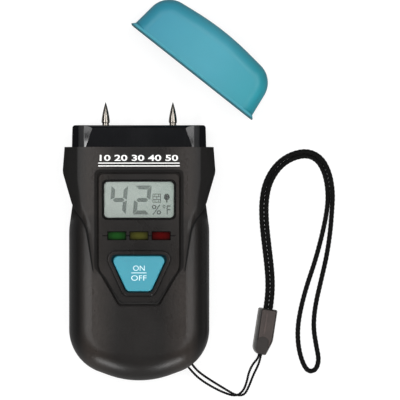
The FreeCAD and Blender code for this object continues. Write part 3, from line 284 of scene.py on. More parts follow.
@dataclass(frozen=True)
class Sunk(Layer):
    """A recessed field of a moulding, where everything under a level stays dull and is darkened with painted
    shade.

    The field is a box whose sides lean in below its knee; a fine ridge round it gets a paler painted
    highlight.
    """

    half: float
    foot: float
    top: float
    level: float
    knee: float = 0.0
    lean: float = 0.0
    crest: Span | None = None
    crest_highlight: Colour = paint(84, 82, 80)
    edge: Edge | None = None
    soft: float = 0.05 * MM

    def apply(self, graph: Graph, tone: Socket) -> tuple[Socket, Socket]:
        """Paint shade into a tone in the field's hollows, and a painted highlight onto its fine raised ridge.

        Args:
            graph: The material's graph.
            tone: The moulding's tone.

        Returns:
            The changed tone, and the least roughness, 1 in the hollows.
        """
        x, y, z = graph.parts()
        below = graph.most(graph.minus(self.knee, y), 0.0)
        across = graph.plus(graph.unsigned(x), graph.times(below, self.lean))
        soft = self.soft
        field = graph.times(graph.ramp(across, self.half, self.half + soft, 1, 0),
                            graph.band(y, (self.foot - soft, self.foot), (self.top, self.top + soft)))
        # Painted highlight along the fine ridge.
        if self.crest is not None:
            low, high = self.crest
            ridge = graph.band(z, (low - soft, low), (high, high + soft), 0.35)
            tone = graph.mix(graph.times(field, ridge), tone, self.crest_highlight)
        # Painted shade: everything below the level darkens.
        deep = graph.times(field, graph.ramp(z, self.level - 2 * soft, self.level, 0.8, 0))
        # The hollows' painted shade, replaced by a painted lighter tone in the groove along the edge.
        floor: Any = PAINTED_SHADE
        dull = deep
        if self.edge is not None:
            groove, shade_share = self.beside_edge(graph, across, y)
            tone = graph.mix(shade_share, tone, PAINTED_SHADE)
            floor = graph.mix(groove, PAINTED_SHADE, self.edge.groove_painted_light)
            dull = graph.most(deep, shade_share)
        return graph.mix(deep, tone, floor), graph.ramp(dull, 0, 0.8)

    def beside_edge(self, graph: Graph, across: Socket, along: Socket) -> tuple[Socket, Socket]:
        """Find the groove along the field's edge, and the painted shade beside it.

        The distance from the edge is the greatest of those from its sides, smoothed at the corners.

        Args:
            graph: The material's graph.
            across: Distance from the middle, with the lean added.
            along: Place along Y.

        Returns:
            The groove's share and the shade's share.
        """
        edge = self.edge
        slope = graph.ramp(along, self.knee - 2 * MM, self.knee, math.cos(math.atan(self.lean)), 1)
        away = graph.times(graph.minus(across, self.half), slope)
        for other in (graph.minus(along, self.top), graph.minus(self.foot, along)):
            away = graph.maths("SMOOTH_MAX", away, other, edge.rounding)
        groove = graph.ramp(graph.unsigned(away), *edge.groove, 1, 0)
        middle = graph.ramp(along, self.knee - 3 * MM, self.knee + 1 * MM, -edge.inside, edge.outside)
        return groove, graph.ramp(graph.unsigned(graph.minus(away, middle)), *edge.shade, edge.shade_share, 0)


@dataclass(frozen=True)
class FlankSheenAndShade(Layer):
    """Flanks paled and warmed with a painted sheen, with a darker painted shade on the rim beyond them, alike
    at both sides.

    The painted sheen is mottled. It rises and falls with the distance from the middle, and fades along the
    waist and up into the wings, whose tips are dull.
    """

    tone: Colour
    rim: Colour
    rise: Span
    fall: Span
    dull: float
    waist: Span = (-8 * MM, 2 * MM)
    wing: Span = (14 * MM, 18 * MM)
    bottom: Span = (-34 * MM, -27 * MM)
    spread: float = 3 * MM
    mottle: float = 1.6 * MM
    tip: float = 0.0
    tip_lean: float = 2.2 * MM
    tip_reach: float = 16 * MM

    def apply(self, graph: Graph, tone: Socket) -> tuple[Socket, Socket]:
        """Mix the painted sheen into a tone on both flanks, and the painted shade into the rim.

        Args:
            graph: The material's graph.
            tone: The moulding's tone.

        Returns:
            The changed tone, and the least roughness that the wear leaves.
        """
        x, y, _ = graph.parts()
        away = graph.unsigned(x)
        full, end = self.rise[1], self.fall[1]
        along = graph.most(graph.ramp(y, *self.waist, 1, 0.3), graph.ramp(y, *self.wing, 0, 0.8))
        mottle = graph.ramp(graph.noise(self.mottle, 4.0, 0.7), 0.3, 0.7, 0.65, 1.0)
        # Painted sheen: a mottled paler tone on both flanks.
        tone = graph.mix(graph.times(graph.band(away, self.rise, self.fall), along, mottle), tone, self.tone)
        # Painted shade: the outer rim darkens.
        tone = graph.mix(graph.ramp(away, end - 0.6 * MM, end + 1.0 * MM, 0, 0.7), tone, self.rim)
        worn = graph.most(graph.band(away, (full, full + self.spread), (end, end + self.spread)),
                          graph.ramp(y, *self.bottom, 1, 0))
        low = self.wing[0]
        leaned = graph.plus(away, graph.ramp(y, low, low + self.tip_reach, self.tip_lean, 0))
        tip = graph.times(graph.ramp(leaned, end - 0.1 * MM, end + 1.0 * MM),
                          graph.ramp(y, *self.wing, 0, self.tip))
        return tone, graph.most(graph.times(worn, self.dull), tip)


@dataclass(frozen=True)
class Crease(Layer):
    """A painted shade line where one surface dips under another, alike at both sides, with a dull lip beside
    it.

    Its distance from the middle grows evenly along Y, and with the square of Y beyond its bend.
    """

    start: float
    slope: float
    bend: float
    curve: float
    foot: float
    wide: float
    lip: Span = (1.2 * MM, 1.9 * MM)
    lip_dull: float = 0.7

    def apply(self, graph: Graph, tone: Socket) -> tuple[Socket, Socket]:
        """Paint shade into a tone along the line, which thins out towards its foot.

        Args:
            graph: The material's graph.
            tone: The moulding's tone.

        Returns:
            The changed tone, and the least roughness of the line and of the lip beside it.
        """
        x, y, _ = graph.parts()
        beyond = graph.most(graph.minus(y, self.bend), 0.0)
        straight = graph.plus(graph.times(y, self.slope), self.start)
        line = graph.plus(straight, graph.times(beyond, beyond, self.curve))
        inside = graph.minus(line, graph.unsigned(x))
        width = graph.ramp(y, self.foot, self.bend, 0.5 * self.wide, self.wide)
        near = graph.ramp(graph.maths("DIVIDE", graph.unsigned(inside), width), 0.25, 1.0, 0.92, 0.0)
        amount = graph.times(near, graph.ramp(y, self.foot, self.foot + 1 * MM))
        lip = graph.times(graph.band(inside, (-0.3 * MM, 0.0), self.lip),
                          graph.band(y, (self.foot - 1 * MM, self.foot), (self.bend, self.bend + 5 * MM),
                                     self.lip_dull))
        return graph.mix(amount, tone, PAINTED_SHADE), graph.most(lip, amount)


@dataclass(frozen=True)
class Ends(Layer):
    """Painted shade towards the ends of a long moulding, and at its mouth a thin painted highlight on the lip
    with a painted shadow line at its edge.
    """

    middle: Span
    turn: float
    reach: Span
    # The painted shade colours at the two ends.
    tones: tuple[Colour, Colour]
    mouth: float
    lip: float
    lip_highlight: Colour
    edge: float
    edge_shade: Colour
    soft: float = 0.15 * MM

    def apply(self, graph: Graph, tone: Socket) -> tuple[Socket, float]:
        """Mix in the ends' painted shade by the distance along the moulding, and the lip's painted highlight
        and edge shade by that across it.

        Args:
            graph: The material's graph.
            tone: The moulding's tone.

        Returns:
            The changed tone, and no least roughness.
        """
        x, y, _ = graph.parts()
        cosine, sine = math.cos(self.turn), math.sin(self.turn)
        along = graph.plus(graph.times(x, cosine), graph.times(y, sine))
        across = graph.minus(graph.times(y, cosine), graph.times(x, sine))
        centre = self.middle[0] * cosine + self.middle[1] * sine
        # Painted shade: the tone deepens towards both ends.
        for side, levels, end in zip((-1, 1), ((1.0, 0.0), (0.0, 1.0)), self.tones):
            reach = sorted(centre + side * step for step in self.reach)
            tone = graph.mix(graph.ramp(along, *reach, *levels), tone, end)
        # Painted highlight on the lip, and a painted shadow line at the mouth's edge.
        for height, soft, share, colour in ((self.lip, 2 * self.soft, 0.8, self.lip_highlight),
                                            (self.edge, self.soft, 0.85, self.edge_shade)):
            level = self.mouth + height
            tone = graph.mix(graph.ramp(across, level, level + soft, share, 0), tone, colour)
        return tone, 0.0


@dataclass(frozen=True)
class Moulded:
    """Moulded plastic: cloudy tone, fine spark-eroded grain, faint handling marks, painted shade in crevices,
    and layers over it.
    """

    name: str
    colour: Colour
    roughness: float = 0.5
    specular: float = 0.3
    grain: float = 0.28 * MM
    grain_depth: float = 0.012 * MM
    cloud: float = 14 * MM
    uneven: float = 0.1
    streak: float = 1.2 * MM
    through: float = 0.0
    through_depth: float = 0.6 * MM
    wave: float = 1.1 * MM
    wave_depth: float = 0.0
    crevice_shade: float = 0.0
    layers: tuple[Layer, ...] = ()

    def build(self) -> bpy.types.Material:
        """Make the material.

        Returns:
            The finished material.
        """
        graph = Graph(self.name)
        cloud = graph.ramp(graph.noise(self.cloud, 3.0), 0.3, 0.7)
        fine = graph.noise(self.grain, 2.0, 0.6)
        tone = graph.mix(cloud, shade(self.colour, 1 - self.uneven), shade(self.colour, 1 + self.uneven))
        speck = graph.ramp(fine, 0.55, 0.8, 0.0, 0.5)
        tone = graph.mix(speck, tone, shade(self.colour, 1 + 2 * self.uneven))
        streaks = graph.noise(self.streak, 3.0, 0.7, graph.mapped((1.0, 0.06, 1.0), turn=0.35))
        marks = graph.ramp(streaks, 0.55, 0.85, 0.0, 0.05)
        rough = graph.plus(graph.ramp(cloud, 0, 1, self.roughness - 0.04, self.roughness + 0.04), marks)
        normal = graph.bump(fine, self.grain_depth)
        if self.wave_depth:
            normal = graph.bump(graph.noise(self.wave), self.wave_depth, normal)
        # Painted shade: ambient occlusion darkens the tone in crevices.
        if self.crevice_shade:
            sky = graph.node("ShaderNodeAmbientOcclusion", {"Distance": self.crevice_shade}, samples=8)
            tone = graph.mix(graph.ramp(sky.outputs["AO"], 0.7, 0.95, 0.9, 0.0), tone, paint(4, 4, 4))
        for layer in self.layers:
            tone, least = layer.apply(graph, tone)
            rough = graph.most(rough, least)
        return graph.surface(Base_Color=tone, Roughness=rough, Specular_IOR_Level=self.specular,
                             Subsurface_Weight=self.through, Subsurface_Scale=self.through_depth,
                             Normal=normal)


@dataclass(frozen=True)
class Tiers:
    """Plastic moulded in two shots, its tone following the height: base, gap, lid and crest, with painted
    shade down the lid's sides under its paler top.
    """

    name: str
    tiers: tuple[tuple[float, Colour], ...]
    cloud: float = 3 * MM
    grain: float = 0.25 * MM
    grain_depth: float = 0.01 * MM

    def build(self) -> bpy.types.Material:
        """Make the material.

        Returns:
            The finished material.
        """
        graph = Graph(self.name)
        height = graph.parts()[2]
        tone: Any = self.tiers[0][1]
        for (below, _), (level, colour) in zip(self.tiers, self.tiers[1:]):
            tone = graph.mix(graph.ramp(height, below, level), tone, colour)
        cloud = graph.ramp(graph.noise(self.cloud, 4.0, 0.65), 0.35, 0.7, 0.0, 0.35)
        tone = graph.mix(cloud, tone, paint(40, 36, 34))
        grain = graph.noise(self.grain, 2.0, 0.6)
        return graph.surface(Base_Color=tone, Roughness=graph.ramp(grain, 0.3, 0.7, 0.42, 0.52),
                             Specular_IOR_Level=0.3, Normal=graph.bump(grain, self.grain_depth))


@dataclass(frozen=True)
class Turned:
    """Metal turned about an axis along Y, with fine tool rings and a little tarnish."""

    name: str
    colour: Colour
    roughness: float = 0.2
    ring: float = 0.12 * MM
    ring_depth: float = 0.002 * MM
    film: float = 2.5 * MM
    tarnish: float = 0.15

    def build(self) -> bpy.types.Material:
        """Make the material.

        Returns:
            The finished material.
        """
        graph = Graph(self.name)
        rings = graph.noise(self.ring, 1.0, 0.5, graph.mapped((0.02, 1.0, 0.02)))
        film = graph.ramp(graph.noise(self.film, 4.0, 0.65), 0.45, 0.75)
        tone = graph.mix(film, self.colour, shade(self.colour, 1 - self.tarnish))
        rough = graph.ramp(film, 0, 1, self.roughness, self.roughness + 0.12)
        return graph.surface(Base_Color=tone, Metallic=1.0, Roughness=rough,
                             Normal=graph.bump(rings, self.ring_depth))


@dataclass(frozen=True)
class Sheet:
    """Rolled or plated metal sheet with a grain along X and small scratches."""

    name: str
    colour: Colour
    roughness: float = 0.32
    grain: float = 0.1 * MM
    grain_depth: float = 0.002 * MM
    cloud: float = 3 * MM

    def build(self) -> bpy.types.Material:
        """Make the material.

        Returns:
            The finished material.
        """
        graph = Graph(self.name)
        grain = graph.noise(self.grain, 3.0, 0.6, graph.mapped((0.04, 1.0, 1.0)))
        cloud = graph.noise(self.cloud, 3.0)
        tone = graph.mix(graph.ramp(cloud, 0.3, 0.7), self.colour, shade(self.colour, 0.82))
        rough = graph.ramp(grain, 0.3, 0.7, self.roughness - 0.08, self.roughness + 0.1)
        return graph.surface(Base_Color=tone, Metallic=1.0, Roughness=rough,
                             Normal=graph.bump(grain, self.grain_depth))


@dataclass(frozen=True)
class Laminate:
    """Glass-fibre board under green resist, with faint traces and tinned pads."""

    name: str
    colour: Colour
    trace: float = 3.2 * MM
    weave: float = 0.3 * MM
    weave_depth: float = 0.004 * MM

    def build(self) -> bpy.types.Material:
        """Make the material.

        Returns:
            The finished material.
        """
        graph = Graph(self.name)
        bricks = graph.node("ShaderNodeTexBrick", {"Vector": graph.place(), "Scale": 1 / self.trace,
                                                   "Color1": shade(self.colour, 0.85), "Color2": self.colour,
                                                   "Mortar": shade(self.colour, 1.7), "Mortar Size": 0.05})
        weave = graph.noise(self.weave)
        return graph.surface(Base_Color=bricks.outputs[0], Roughness=graph.ramp(weave, 0.3, 0.7, 0.28, 0.42),
                             Normal=graph.bump(weave, self.weave_depth))


@dataclass(frozen=True)
class Ink:
    """Pad-printed ink: opaque, a little uneven, with pinholes at its grain."""

    name: str
    colour: Colour
    under: Colour
    roughness: float = 0.45
    pinhole: float = 0.16 * MM

    def build(self) -> bpy.types.Material:
        """Make the material.

        Returns:
            The finished material.
        """
        graph = Graph(self.name)
        thin = graph.ramp(graph.noise(self.pinhole, 3.0, 0.7), 0.62, 0.78, 0.0, 0.5)
        tone = graph.mix(thin, self.colour, self.under)
        return graph.surface(Base_Color=tone, Roughness=self.roughness, Specular_IOR_Level=0.25)


@dataclass(frozen=True)
class LampPlastic:
    """Tinted clear plastic over an unlit lamp: black at the rim, deep within it, lighter over the chip."""

    name: str
    colour: Colour
    glow: Colour
    centre: Point
    half: Span
    rim: float = 0.3 * MM
    rib: float = 0.5 * MM
    rib_depth: float = 0.01 * MM
    spread: float = 0.87

    def build(self) -> bpy.types.Material:
        """Make the material.

        Returns:
            The finished material.
        """
        graph = Graph(self.name)
        spot = graph.mapped((self.spread / self.half[0], self.spread / self.half[1], 0.0), self.centre)
        away = graph.node("ShaderNodeTexGradient", {"Vector": spot}, gradient_type="SPHERICAL").outputs["Fac"]
        ribs = graph.noise(self.rib, 2.0, 0.5, graph.mapped((1.0, 0.1, 1.0)))
        amount = graph.times(graph.ramp(away, 0.05, 0.75), graph.ramp(ribs, 0.2, 0.8, 0.75, 1.0))
        sides = [graph.ramp(graph.unsigned(graph.minus(part, middle)), half - self.rim, half - self.rim / 2)
                 for part, middle, half in zip(graph.parts(), self.centre, self.half)]
        tone = graph.mix(graph.most(*sides), graph.mix(amount, self.colour, self.glow), paint(2, 2, 2))
        return graph.surface(Base_Color=tone, Roughness=0.3,
                             Specular_IOR_Level=0.05, Normal=graph.bump(ribs, self.rib_depth))


@dataclass(frozen=True)
class DisplayGround:
    """Reflective ground of a liquid-crystal display: pale, with a silvery grain, and paler towards its left
    side with a painted glare.
    """

    name: str
    light: Colour
    dark: Colour
    left: float
    right: float
    cloud: float = 9 * MM
    grain: float = 0.09 * MM

    def build(self) -> bpy.types.Material:
        """Make the material.

        Returns:
            The finished material.
        """
        graph = Graph(self.name)
        along = graph.parts()[0]
        cloud = graph.noise(self.cloud)
        # Painted glare: the tone pales towards the left side.
        across = graph.plus(graph.ramp(along, self.left, self.right), graph.ramp(cloud, 0, 1, -0.2, 0.2))
        grain = graph.ramp(graph.noise(self.grain, 1.0), 0.3, 0.7, -0.05, 0.05)
        tone = graph.mix(graph.plus(across, grain), self.dark, self.light)
        return graph.surface(Base_Color=tone, Roughness=0.55, Specular_IOR_Level=0.2)


@dataclass(frozen=True)
class Clear:
    """Clear acrylic that lets lamp light straight through, with a faint haze of fine wear."""

    name: str
    tint: Colour
    roughness: float = 0.03
    wear: float = 0.6 * MM

    def build(self) -> bpy.types.Material:
        """Make the material.

        Returns:
            The finished material.
        """
        graph = Graph(self.name)
        haze = graph.ramp(graph.noise(self.wear, 4.0, 0.7), 0.55, 0.8, self.roughness, self.roughness + 0.06)
        glass = graph.shader(Base_Color=self.tint, Roughness=haze, IOR=1.46, Transmission_Weight=1.0)
        through = graph.node("ShaderNodeBsdfTransparent", {0: self.tint}).outputs[0]
        shadow = graph.node("ShaderNodeLightPath").outputs["Is Shadow Ray"]
        return graph.close(graph.blend(shadow, glass, through))


@dataclass(frozen=True)
class Yarn:
    """Dyed fibre: bundles of fine filaments along each strand, with a soft sheen and paler high spots."""

    name: str
    colour: Colour
    worn: Colour
    filament: float
    filament_depth: float = 0.015 * MM
    fuzz: float = 0.2 * MM

    def build(self) -> bpy.types.Material:
        """Make the material, which reads the piece's own UV map and its crest attribute.

        Returns:
            The finished material.
        """
        graph = Graph(self.name)
        across = graph.node("ShaderNodeUVMap", uv_map="strand").outputs[0]
        threads = graph.node("ShaderNodeTexWave", {"Vector": across, "Scale": self.filament,
                                                   "Distortion": 1.5}, bands_direction="X").outputs["Fac"]
        crest = graph.node("ShaderNodeAttribute", attribute_name="crest").outputs["Fac"]
        fuzz = graph.ramp(graph.noise(self.fuzz, 3.0, 0.7), 0.45, 0.75)
        light = graph.times(graph.ramp(crest, 0.45, 1.0), graph.plus(fuzz, 0.3))
        tone = graph.mix(light, self.colour, self.worn)
        return graph.surface(Base_Color=tone, Roughness=0.7, Specular_IOR_Level=0.12, Sheen_Weight=0.03,
                             Sheen_Roughness=0.4, Normal=graph.bump(threads, self.filament_depth))


HOUSING = Moulded("housing_plastic", paint(26, 24, 23), roughness=0.29, specular=0.26, grain_depth=0.008 * MM,
                  wave_depth=0.04 * MM, crevice_shade=0.6 * MM)
HEAD = Moulded("head_plastic", paint(8, 9, 12), roughness=0.13, specular=0.6, grain=0.9 * MM,
               grain_depth=0.004 * MM, uneven=0.05)
TEAL = Moulded("teal_plastic", paint(57, 139, 156), roughness=0.42, specular=0.35, grain=0.35 * MM,
               grain_depth=0.006 * MM, uneven=0.035, through=0.06)
INNER = Moulded("inner_plastic", paint(48, 48, 48), roughness=0.6)
# Painted shade: the clip's lid darkens down its sides below its top.
CLIP_GAP_AND_SHADE, CLIP_SIDE_SHADE = paint(12, 10, 9), paint(38, 34, 32)
CLIP = Tiers("clip_plastic", ((1.72 * MM, paint(122, 121, 119)), (1.84 * MM, CLIP_GAP_AND_SHADE), (2.85 * MM, CLIP_GAP_AND_SHADE),
                              (2.93 * MM, CLIP_SIDE_SHADE), (2.99 * MM, CLIP_SIDE_SHADE), (3.05 * MM, CLIP_GAP_AND_SHADE),
                              (3.14 * MM, CLIP_GAP_AND_SHADE), (3.24 * MM, paint(54, 47, 44)),
                              (3.46 * MM, paint(72, 61, 58))))
RUBBER = Moulded("strip_rubber", paint(150, 148, 140), roughness=0.8)
PIN_STEEL = Turned("pin_steel", paint(134, 129, 122), roughness=0.1)
BRASS = Turned("contact_brass", paint(200, 170, 100), roughness=0.3)
SCREW_STEEL = Sheet("screw_steel", paint(170, 168, 165))
CELL_STEEL = Sheet("cell_steel", paint(195, 195, 193), roughness=0.25)
BOARD = Laminate("board_laminate", paint(32, 92, 52))
WHITE_INK = Ink("white_ink", paint(236, 236, 234), paint(70, 68, 66))
KEY_INK = Ink("key_ink", paint(206, 230, 234), paint(90, 170, 185))
SEGMENT = Ink("segment_ink", paint(66, 73, 70), paint(78, 86, 82), roughness=0.6)
FINE_SEGMENT = Ink("fine_segment_ink", paint(34, 38, 36), paint(50, 55, 52), roughness=0.6)
MASK = Moulded("mask_print", paint(26, 27, 26), roughness=0.35, grain_depth=0.002 * MM)


# ---------------------------------------------------------------------------------------------
# Meshes
# ---------------------------------------------------------------------------------------------
def placed(name: str, data: bpy.types.ID) -> bpy.types.Object:
    """Put an object into the scene, at its origin.

    Args:
        name: The object's name.
        data: Its mesh, curve, lamp or camera.

    Returns:
        The new object.
    """
    made = bpy.data.objects.new(name, data)
    bpy.context.scene.collection.objects.link(made)
    return made


def add_object(name: str, mesh: bpy.types.Mesh, body: str,
               material: bpy.types.Material) -> bpy.types.Object:
    """Show a mesh as a piece that rides on a body.

    Args:
        name: The piece's name.
        mesh: Its mesh, with its place in its points.
        body: The CAD body it moves with.
        material: Its material.

    Returns:
        The new object.
    """
    piece = placed(name, mesh)
    mesh.materials.clear()
    mesh.materials.append(material)
    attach(piece, body)
    LOG.info("%s rides on %s", name, body)
    return piece


def dress(nodes: Sequence[str], finish: Any) -> None:
    """Give CAD nodes one finish.

    Args:
        nodes: The nodes' names.
        finish: The finish, whose build method makes the material.
    """
    material = finish.build()
    for name in nodes:
        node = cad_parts[name]
        node.data.materials.clear()
        node.data.materials.append(material)
        LOG.info("%s wears %s", name, finish.name)


def new_mesh(name: str, points: np.ndarray, faces: list[Any]) -> bpy.types.Mesh:
    """Make a mesh from points and faces.

    Args:
        name: The mesh's name.
        points: The points, three numbers in a row.
        faces: The numbers of each face's points.

    Returns:
        The mesh.
    """
    mesh = bpy.data.meshes.new(name)
    mesh.from_pydata(points.tolist(), [], faces)
    mesh.update()
    return mesh


def points_of(mesh: bpy.types.Mesh) -> np.ndarray:
    """Read a mesh's points.

    Args:
        mesh: The mesh.

    Returns:
        The points, three numbers in a row.
    """
    points = np.zeros(len(mesh.vertices) * 3)
    mesh.vertices.foreach_get("co", points)
    return points.reshape(-1, 3)


def move_points(mesh: bpy.types.Mesh, points: np.ndarray) -> None:
    """Give a mesh's points new places."""
    mesh.vertices.foreach_set("co", points.ravel())
    mesh.update()


def meshed(curve: bpy.types.Curve) -> bpy.types.Mesh:
    """Turn a curve or a text into a mesh.

    Args:
        curve: The curve or text.

    Returns:
        The mesh.
    """
    holder = placed(curve.name, curve)
    bpy.context.view_layer.update()
    mesh = bpy.data.meshes.new_from_object(holder)
    bpy.data.objects.remove(holder)
    return mesh


def grid_mesh(name: str, points: np.ndarray, closed_around: bool, capped: bool) -> bpy.types.Mesh:
    """Make a mesh of quads over a grid of points.

    Args:
        name: The mesh's name.
        points: Points as rows x columns x 3; a column runs round the surface.
        closed_around: Whether the last column joins the first.
        capped: Whether the first and last rows are closed by a face each.

    Returns:
        The mesh, with smooth faces.
    """
    rows, columns = points.shape[:2]
    index = np.arange(rows * columns).reshape(rows, columns)
    right = np.roll(index, -1, axis=1) if closed_around else index[:, 1:]
    left = index if closed_around else index[:, :-1]
    quads = np.stack([left[:-1], right[:-1], right[1:], left[1:]], axis=-1).reshape(-1, 4)
    faces = quads.tolist()
    if capped:
        faces += [index[0, ::-1].tolist(), index[-1].tolist()]
    mesh = new_mesh(name, points.reshape(-1, 3), faces)
    mesh.polygons.foreach_set("use_smooth", np.ones(len(mesh.polygons), bool))
    mesh.update()
    return mesh


def slab(name: str, outline: np.ndarray, low: float, high: float) -> bpy.types.Mesh:
    """Raise a flat outline between two heights into a closed slab.

    Args:
        name: The mesh's name.
        outline: The outline's points in plan, counter-clockwise.
        low: Height of its underside.
        high: Height of its upper face.

    Returns:
        The slab.
    """
    count = len(outline)
    ring = np.arange(count)
    points = np.concatenate([np.c_[outline, np.full(count, low)], np.c_[outline, np.full(count, high)]])
    after = np.roll(ring, -1)
    walls = np.stack([ring, after, after + count, ring + count], axis=-1).tolist()
    return new_mesh(name, points, [ring[::-1].tolist(), (ring + count).tolist()] + walls)


def joined(name: str, meshes: Sequence[bpy.types.Mesh]) -> bpy.types.Mesh:
    """Put several meshes into one, each keeping its own points.

    Args:
        name: The new mesh's name.
        meshes: The meshes.

    Returns:
        The joined mesh.
    """
    points: list[np.ndarray] = []
    faces: list[list[int]] = []
    start = 0
    for mesh in meshes:
        points.append(points_of(mesh))
        faces += [[start + corner for corner in face.vertices] for face in mesh.polygons]
        start += len(mesh.vertices)
    return new_mesh(name, np.concatenate(points), faces)


def rounded_box(half: Span, radius: float, centre: Span, steps: int = 8) -> np.ndarray:
    """Outline of a rectangle with quarter-circle corners.

    Each corner is a quarter of a circle about a point one radius in from both sides.

    Args:
        half: Half width and half height.
        radius: Corner radius.
        centre: The rectangle's middle.
        steps: Runs in each quarter circle.

    Returns:
        The outline's points, counter-clockwise.
    """
    quarter = np.linspace(0, math.pi / 2, steps + 1)
    corners = []
    for number, (side_x, side_y) in enumerate(((1, 1), (-1, 1), (-1, -1), (1, -1))):
        angle = quarter + number * math.pi / 2
        middle = np.array([side_x * (half[0] - radius), side_y * (half[1] - radius)])
        corners.append(middle + radius * np.c_[np.cos(angle), np.sin(angle)])
    return np.concatenate(corners) + np.array(centre)


def lettering(name: str, words: str, height: float, width: float, centre: Span, low: float, thick: float,
              weight: float = 0.02) -> bpy.types.Mesh:
    """Make raised lettering that is as wide and as tall as asked.

    Args:
        name: The mesh's name.
        words: What it says.
        height: Height of the letters.
        width: Width of the whole line.
        centre: The middle of the line.
        low: Height of its underside.
        thick: Its thickness.
        weight: How much each stroke is thickened, in shares of the type size.

    Returns:
        The mesh in its place.
    """
    curve = bpy.data.curves.new(name, "FONT")
    curve.body = words
    curve.offset = weight
    curve.extrude = 0.5
    curve.resolution_u = 4
    mesh = meshed(curve)
    mesh.name = name
    points = points_of(mesh)
    lowest, highest = points.min(0), points.max(0)
    share = (points - lowest) / (highest - lowest)
    corner = np.array([centre[0] - width / 2, centre[1] - height / 2, low])
    move_points(mesh, corner + share * np.array([width, height, thick]))
    return mesh


# ---------------------------------------------------------------------------------------------
# Housing
# ---------------------------------------------------------------------------------------------
@dataclass
class Housing:
    """The two shells, the battery door and the print on the front."""

    title: str = "10 20 30 40 50"
    title_height: float = 2.15 * MM
    title_width: float = 27.6 * MM
    title_above: float = 3.7 * MM
    rule_width: float = 28.7 * MM
    rule_thick: float = 0.36 * MM
    rule_pitch: float = 1.0 * MM
    rule_below: float = 0.75 * MM
    rule_points: int = 41
    ink_thick: float = 0.03 * MM
    crown_radius: float = 200 * MM
    # Painted sheen on the front's flanks and painted shade on its outer rims.
    wear: FlankSheenAndShade = FlankSheenAndShade(tone=paint(46, 41, 38), rim=paint(8, 8, 8), rise=(8 * MM, 15 * MM),
                          fall=(18 * MM, 21 * MM), dull=0.37, tip=0.95)
    # Painted shade line along the front's crease.
    crease: Crease = Crease(start=16.55 * MM, slope=0.15, bend=10.5 * MM, curve=53.0, foot=-3.0 * MM,
                            wide=0.75 * MM)
    # Painted shade in the panel's hollows and beside its groove, painted light on the groove's floor, a
    # painted highlight on its ridge.
    panel: Sunk = Sunk(half=14.9 * MM, foot=-15.0 * MM, top=32.5 * MM, level=22.12 * MM, knee=-1.6 * MM,
                       lean=0.578, crest=(22.46 * MM, 22.52 * MM), edge=Edge())

    def build(self) -> None:
        """Dress the shells and print the front."""
        layers = (self.wear, self.crease, self.panel)
        dress(("front_shell",), replace(HOUSING, name="front_plastic", layers=layers))
        dress(("rear_shell", "battery_door"), HOUSING)
        dress(("housing_screws", "board_screws"), SCREW_STEEL)
        panel_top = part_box("lcd_holder")[1].y
        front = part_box("front_shell")[1].z
        self.print_front(panel_top, front)

    def print_front(self, panel_top: float, front: float) -> None:
        """Print the numerals and the two rules above the panel.

        Args:
            panel_top: Where the panel's upper edge lies.
            front: Height of the front's crest.
        """
        middle = panel_top + self.title_above + self.title_height / 2
        mesh = lettering("front_numerals", self.title, self.title_height, self.title_width, (0, middle),
                         0.0, self.ink_thick)
        self.lay(mesh, front)
        ink = WHITE_INK.build()
        add_object("front_numerals", mesh, "meter", ink)
        across = np.linspace(-self.rule_width / 2, self.rule_width / 2, self.rule_points)
        rules = []
        for number in (0, 1):
            level = middle - self.title_height / 2 - self.rule_below - number * self.rule_pitch
            low, high = (np.full(self.rule_points, level + side * self.rule_thick / 2) for side in (-1, 1))
            outline = np.concatenate([np.c_[across, low], np.c_[across[::-1], high]])
            rules.append(slab("rule", outline, 0.0, self.ink_thick))
        mesh = joined("front_rules", rules)
        self.lay(mesh, front)
        add_object("front_rules", mesh, "meter", ink)

    def lay(self, mesh: bpy.types.Mesh, front: float) -> None:
        """Bend flat print onto the crowned front.

        Each point sinks by its distance from the middle squared, over twice the crown's radius.

        Args:
            mesh: The print, lying at height 0.
            front: Height of the front's crest.
        """
        points = points_of(mesh)
        points[:, 2] += front - points[:, 0] ** 2 / (2 * self.crown_radius)
        move_points(mesh, points)


# ---------------------------------------------------------------------------------------------
# Display
# ---------------------------------------------------------------------------------------------
class Segment(Enum):
    """The seven bars of a numeral, by where each one lies."""

    TOP = "a"
    TOP_RIGHT = "b"
    LOW_RIGHT = "c"
    FOOT = "d"
    LOW_LEFT = "e"
    TOP_LEFT = "f"
    MIDDLE = "g"


NUMERALS = {"4": "fgbc", "2": "abged"}


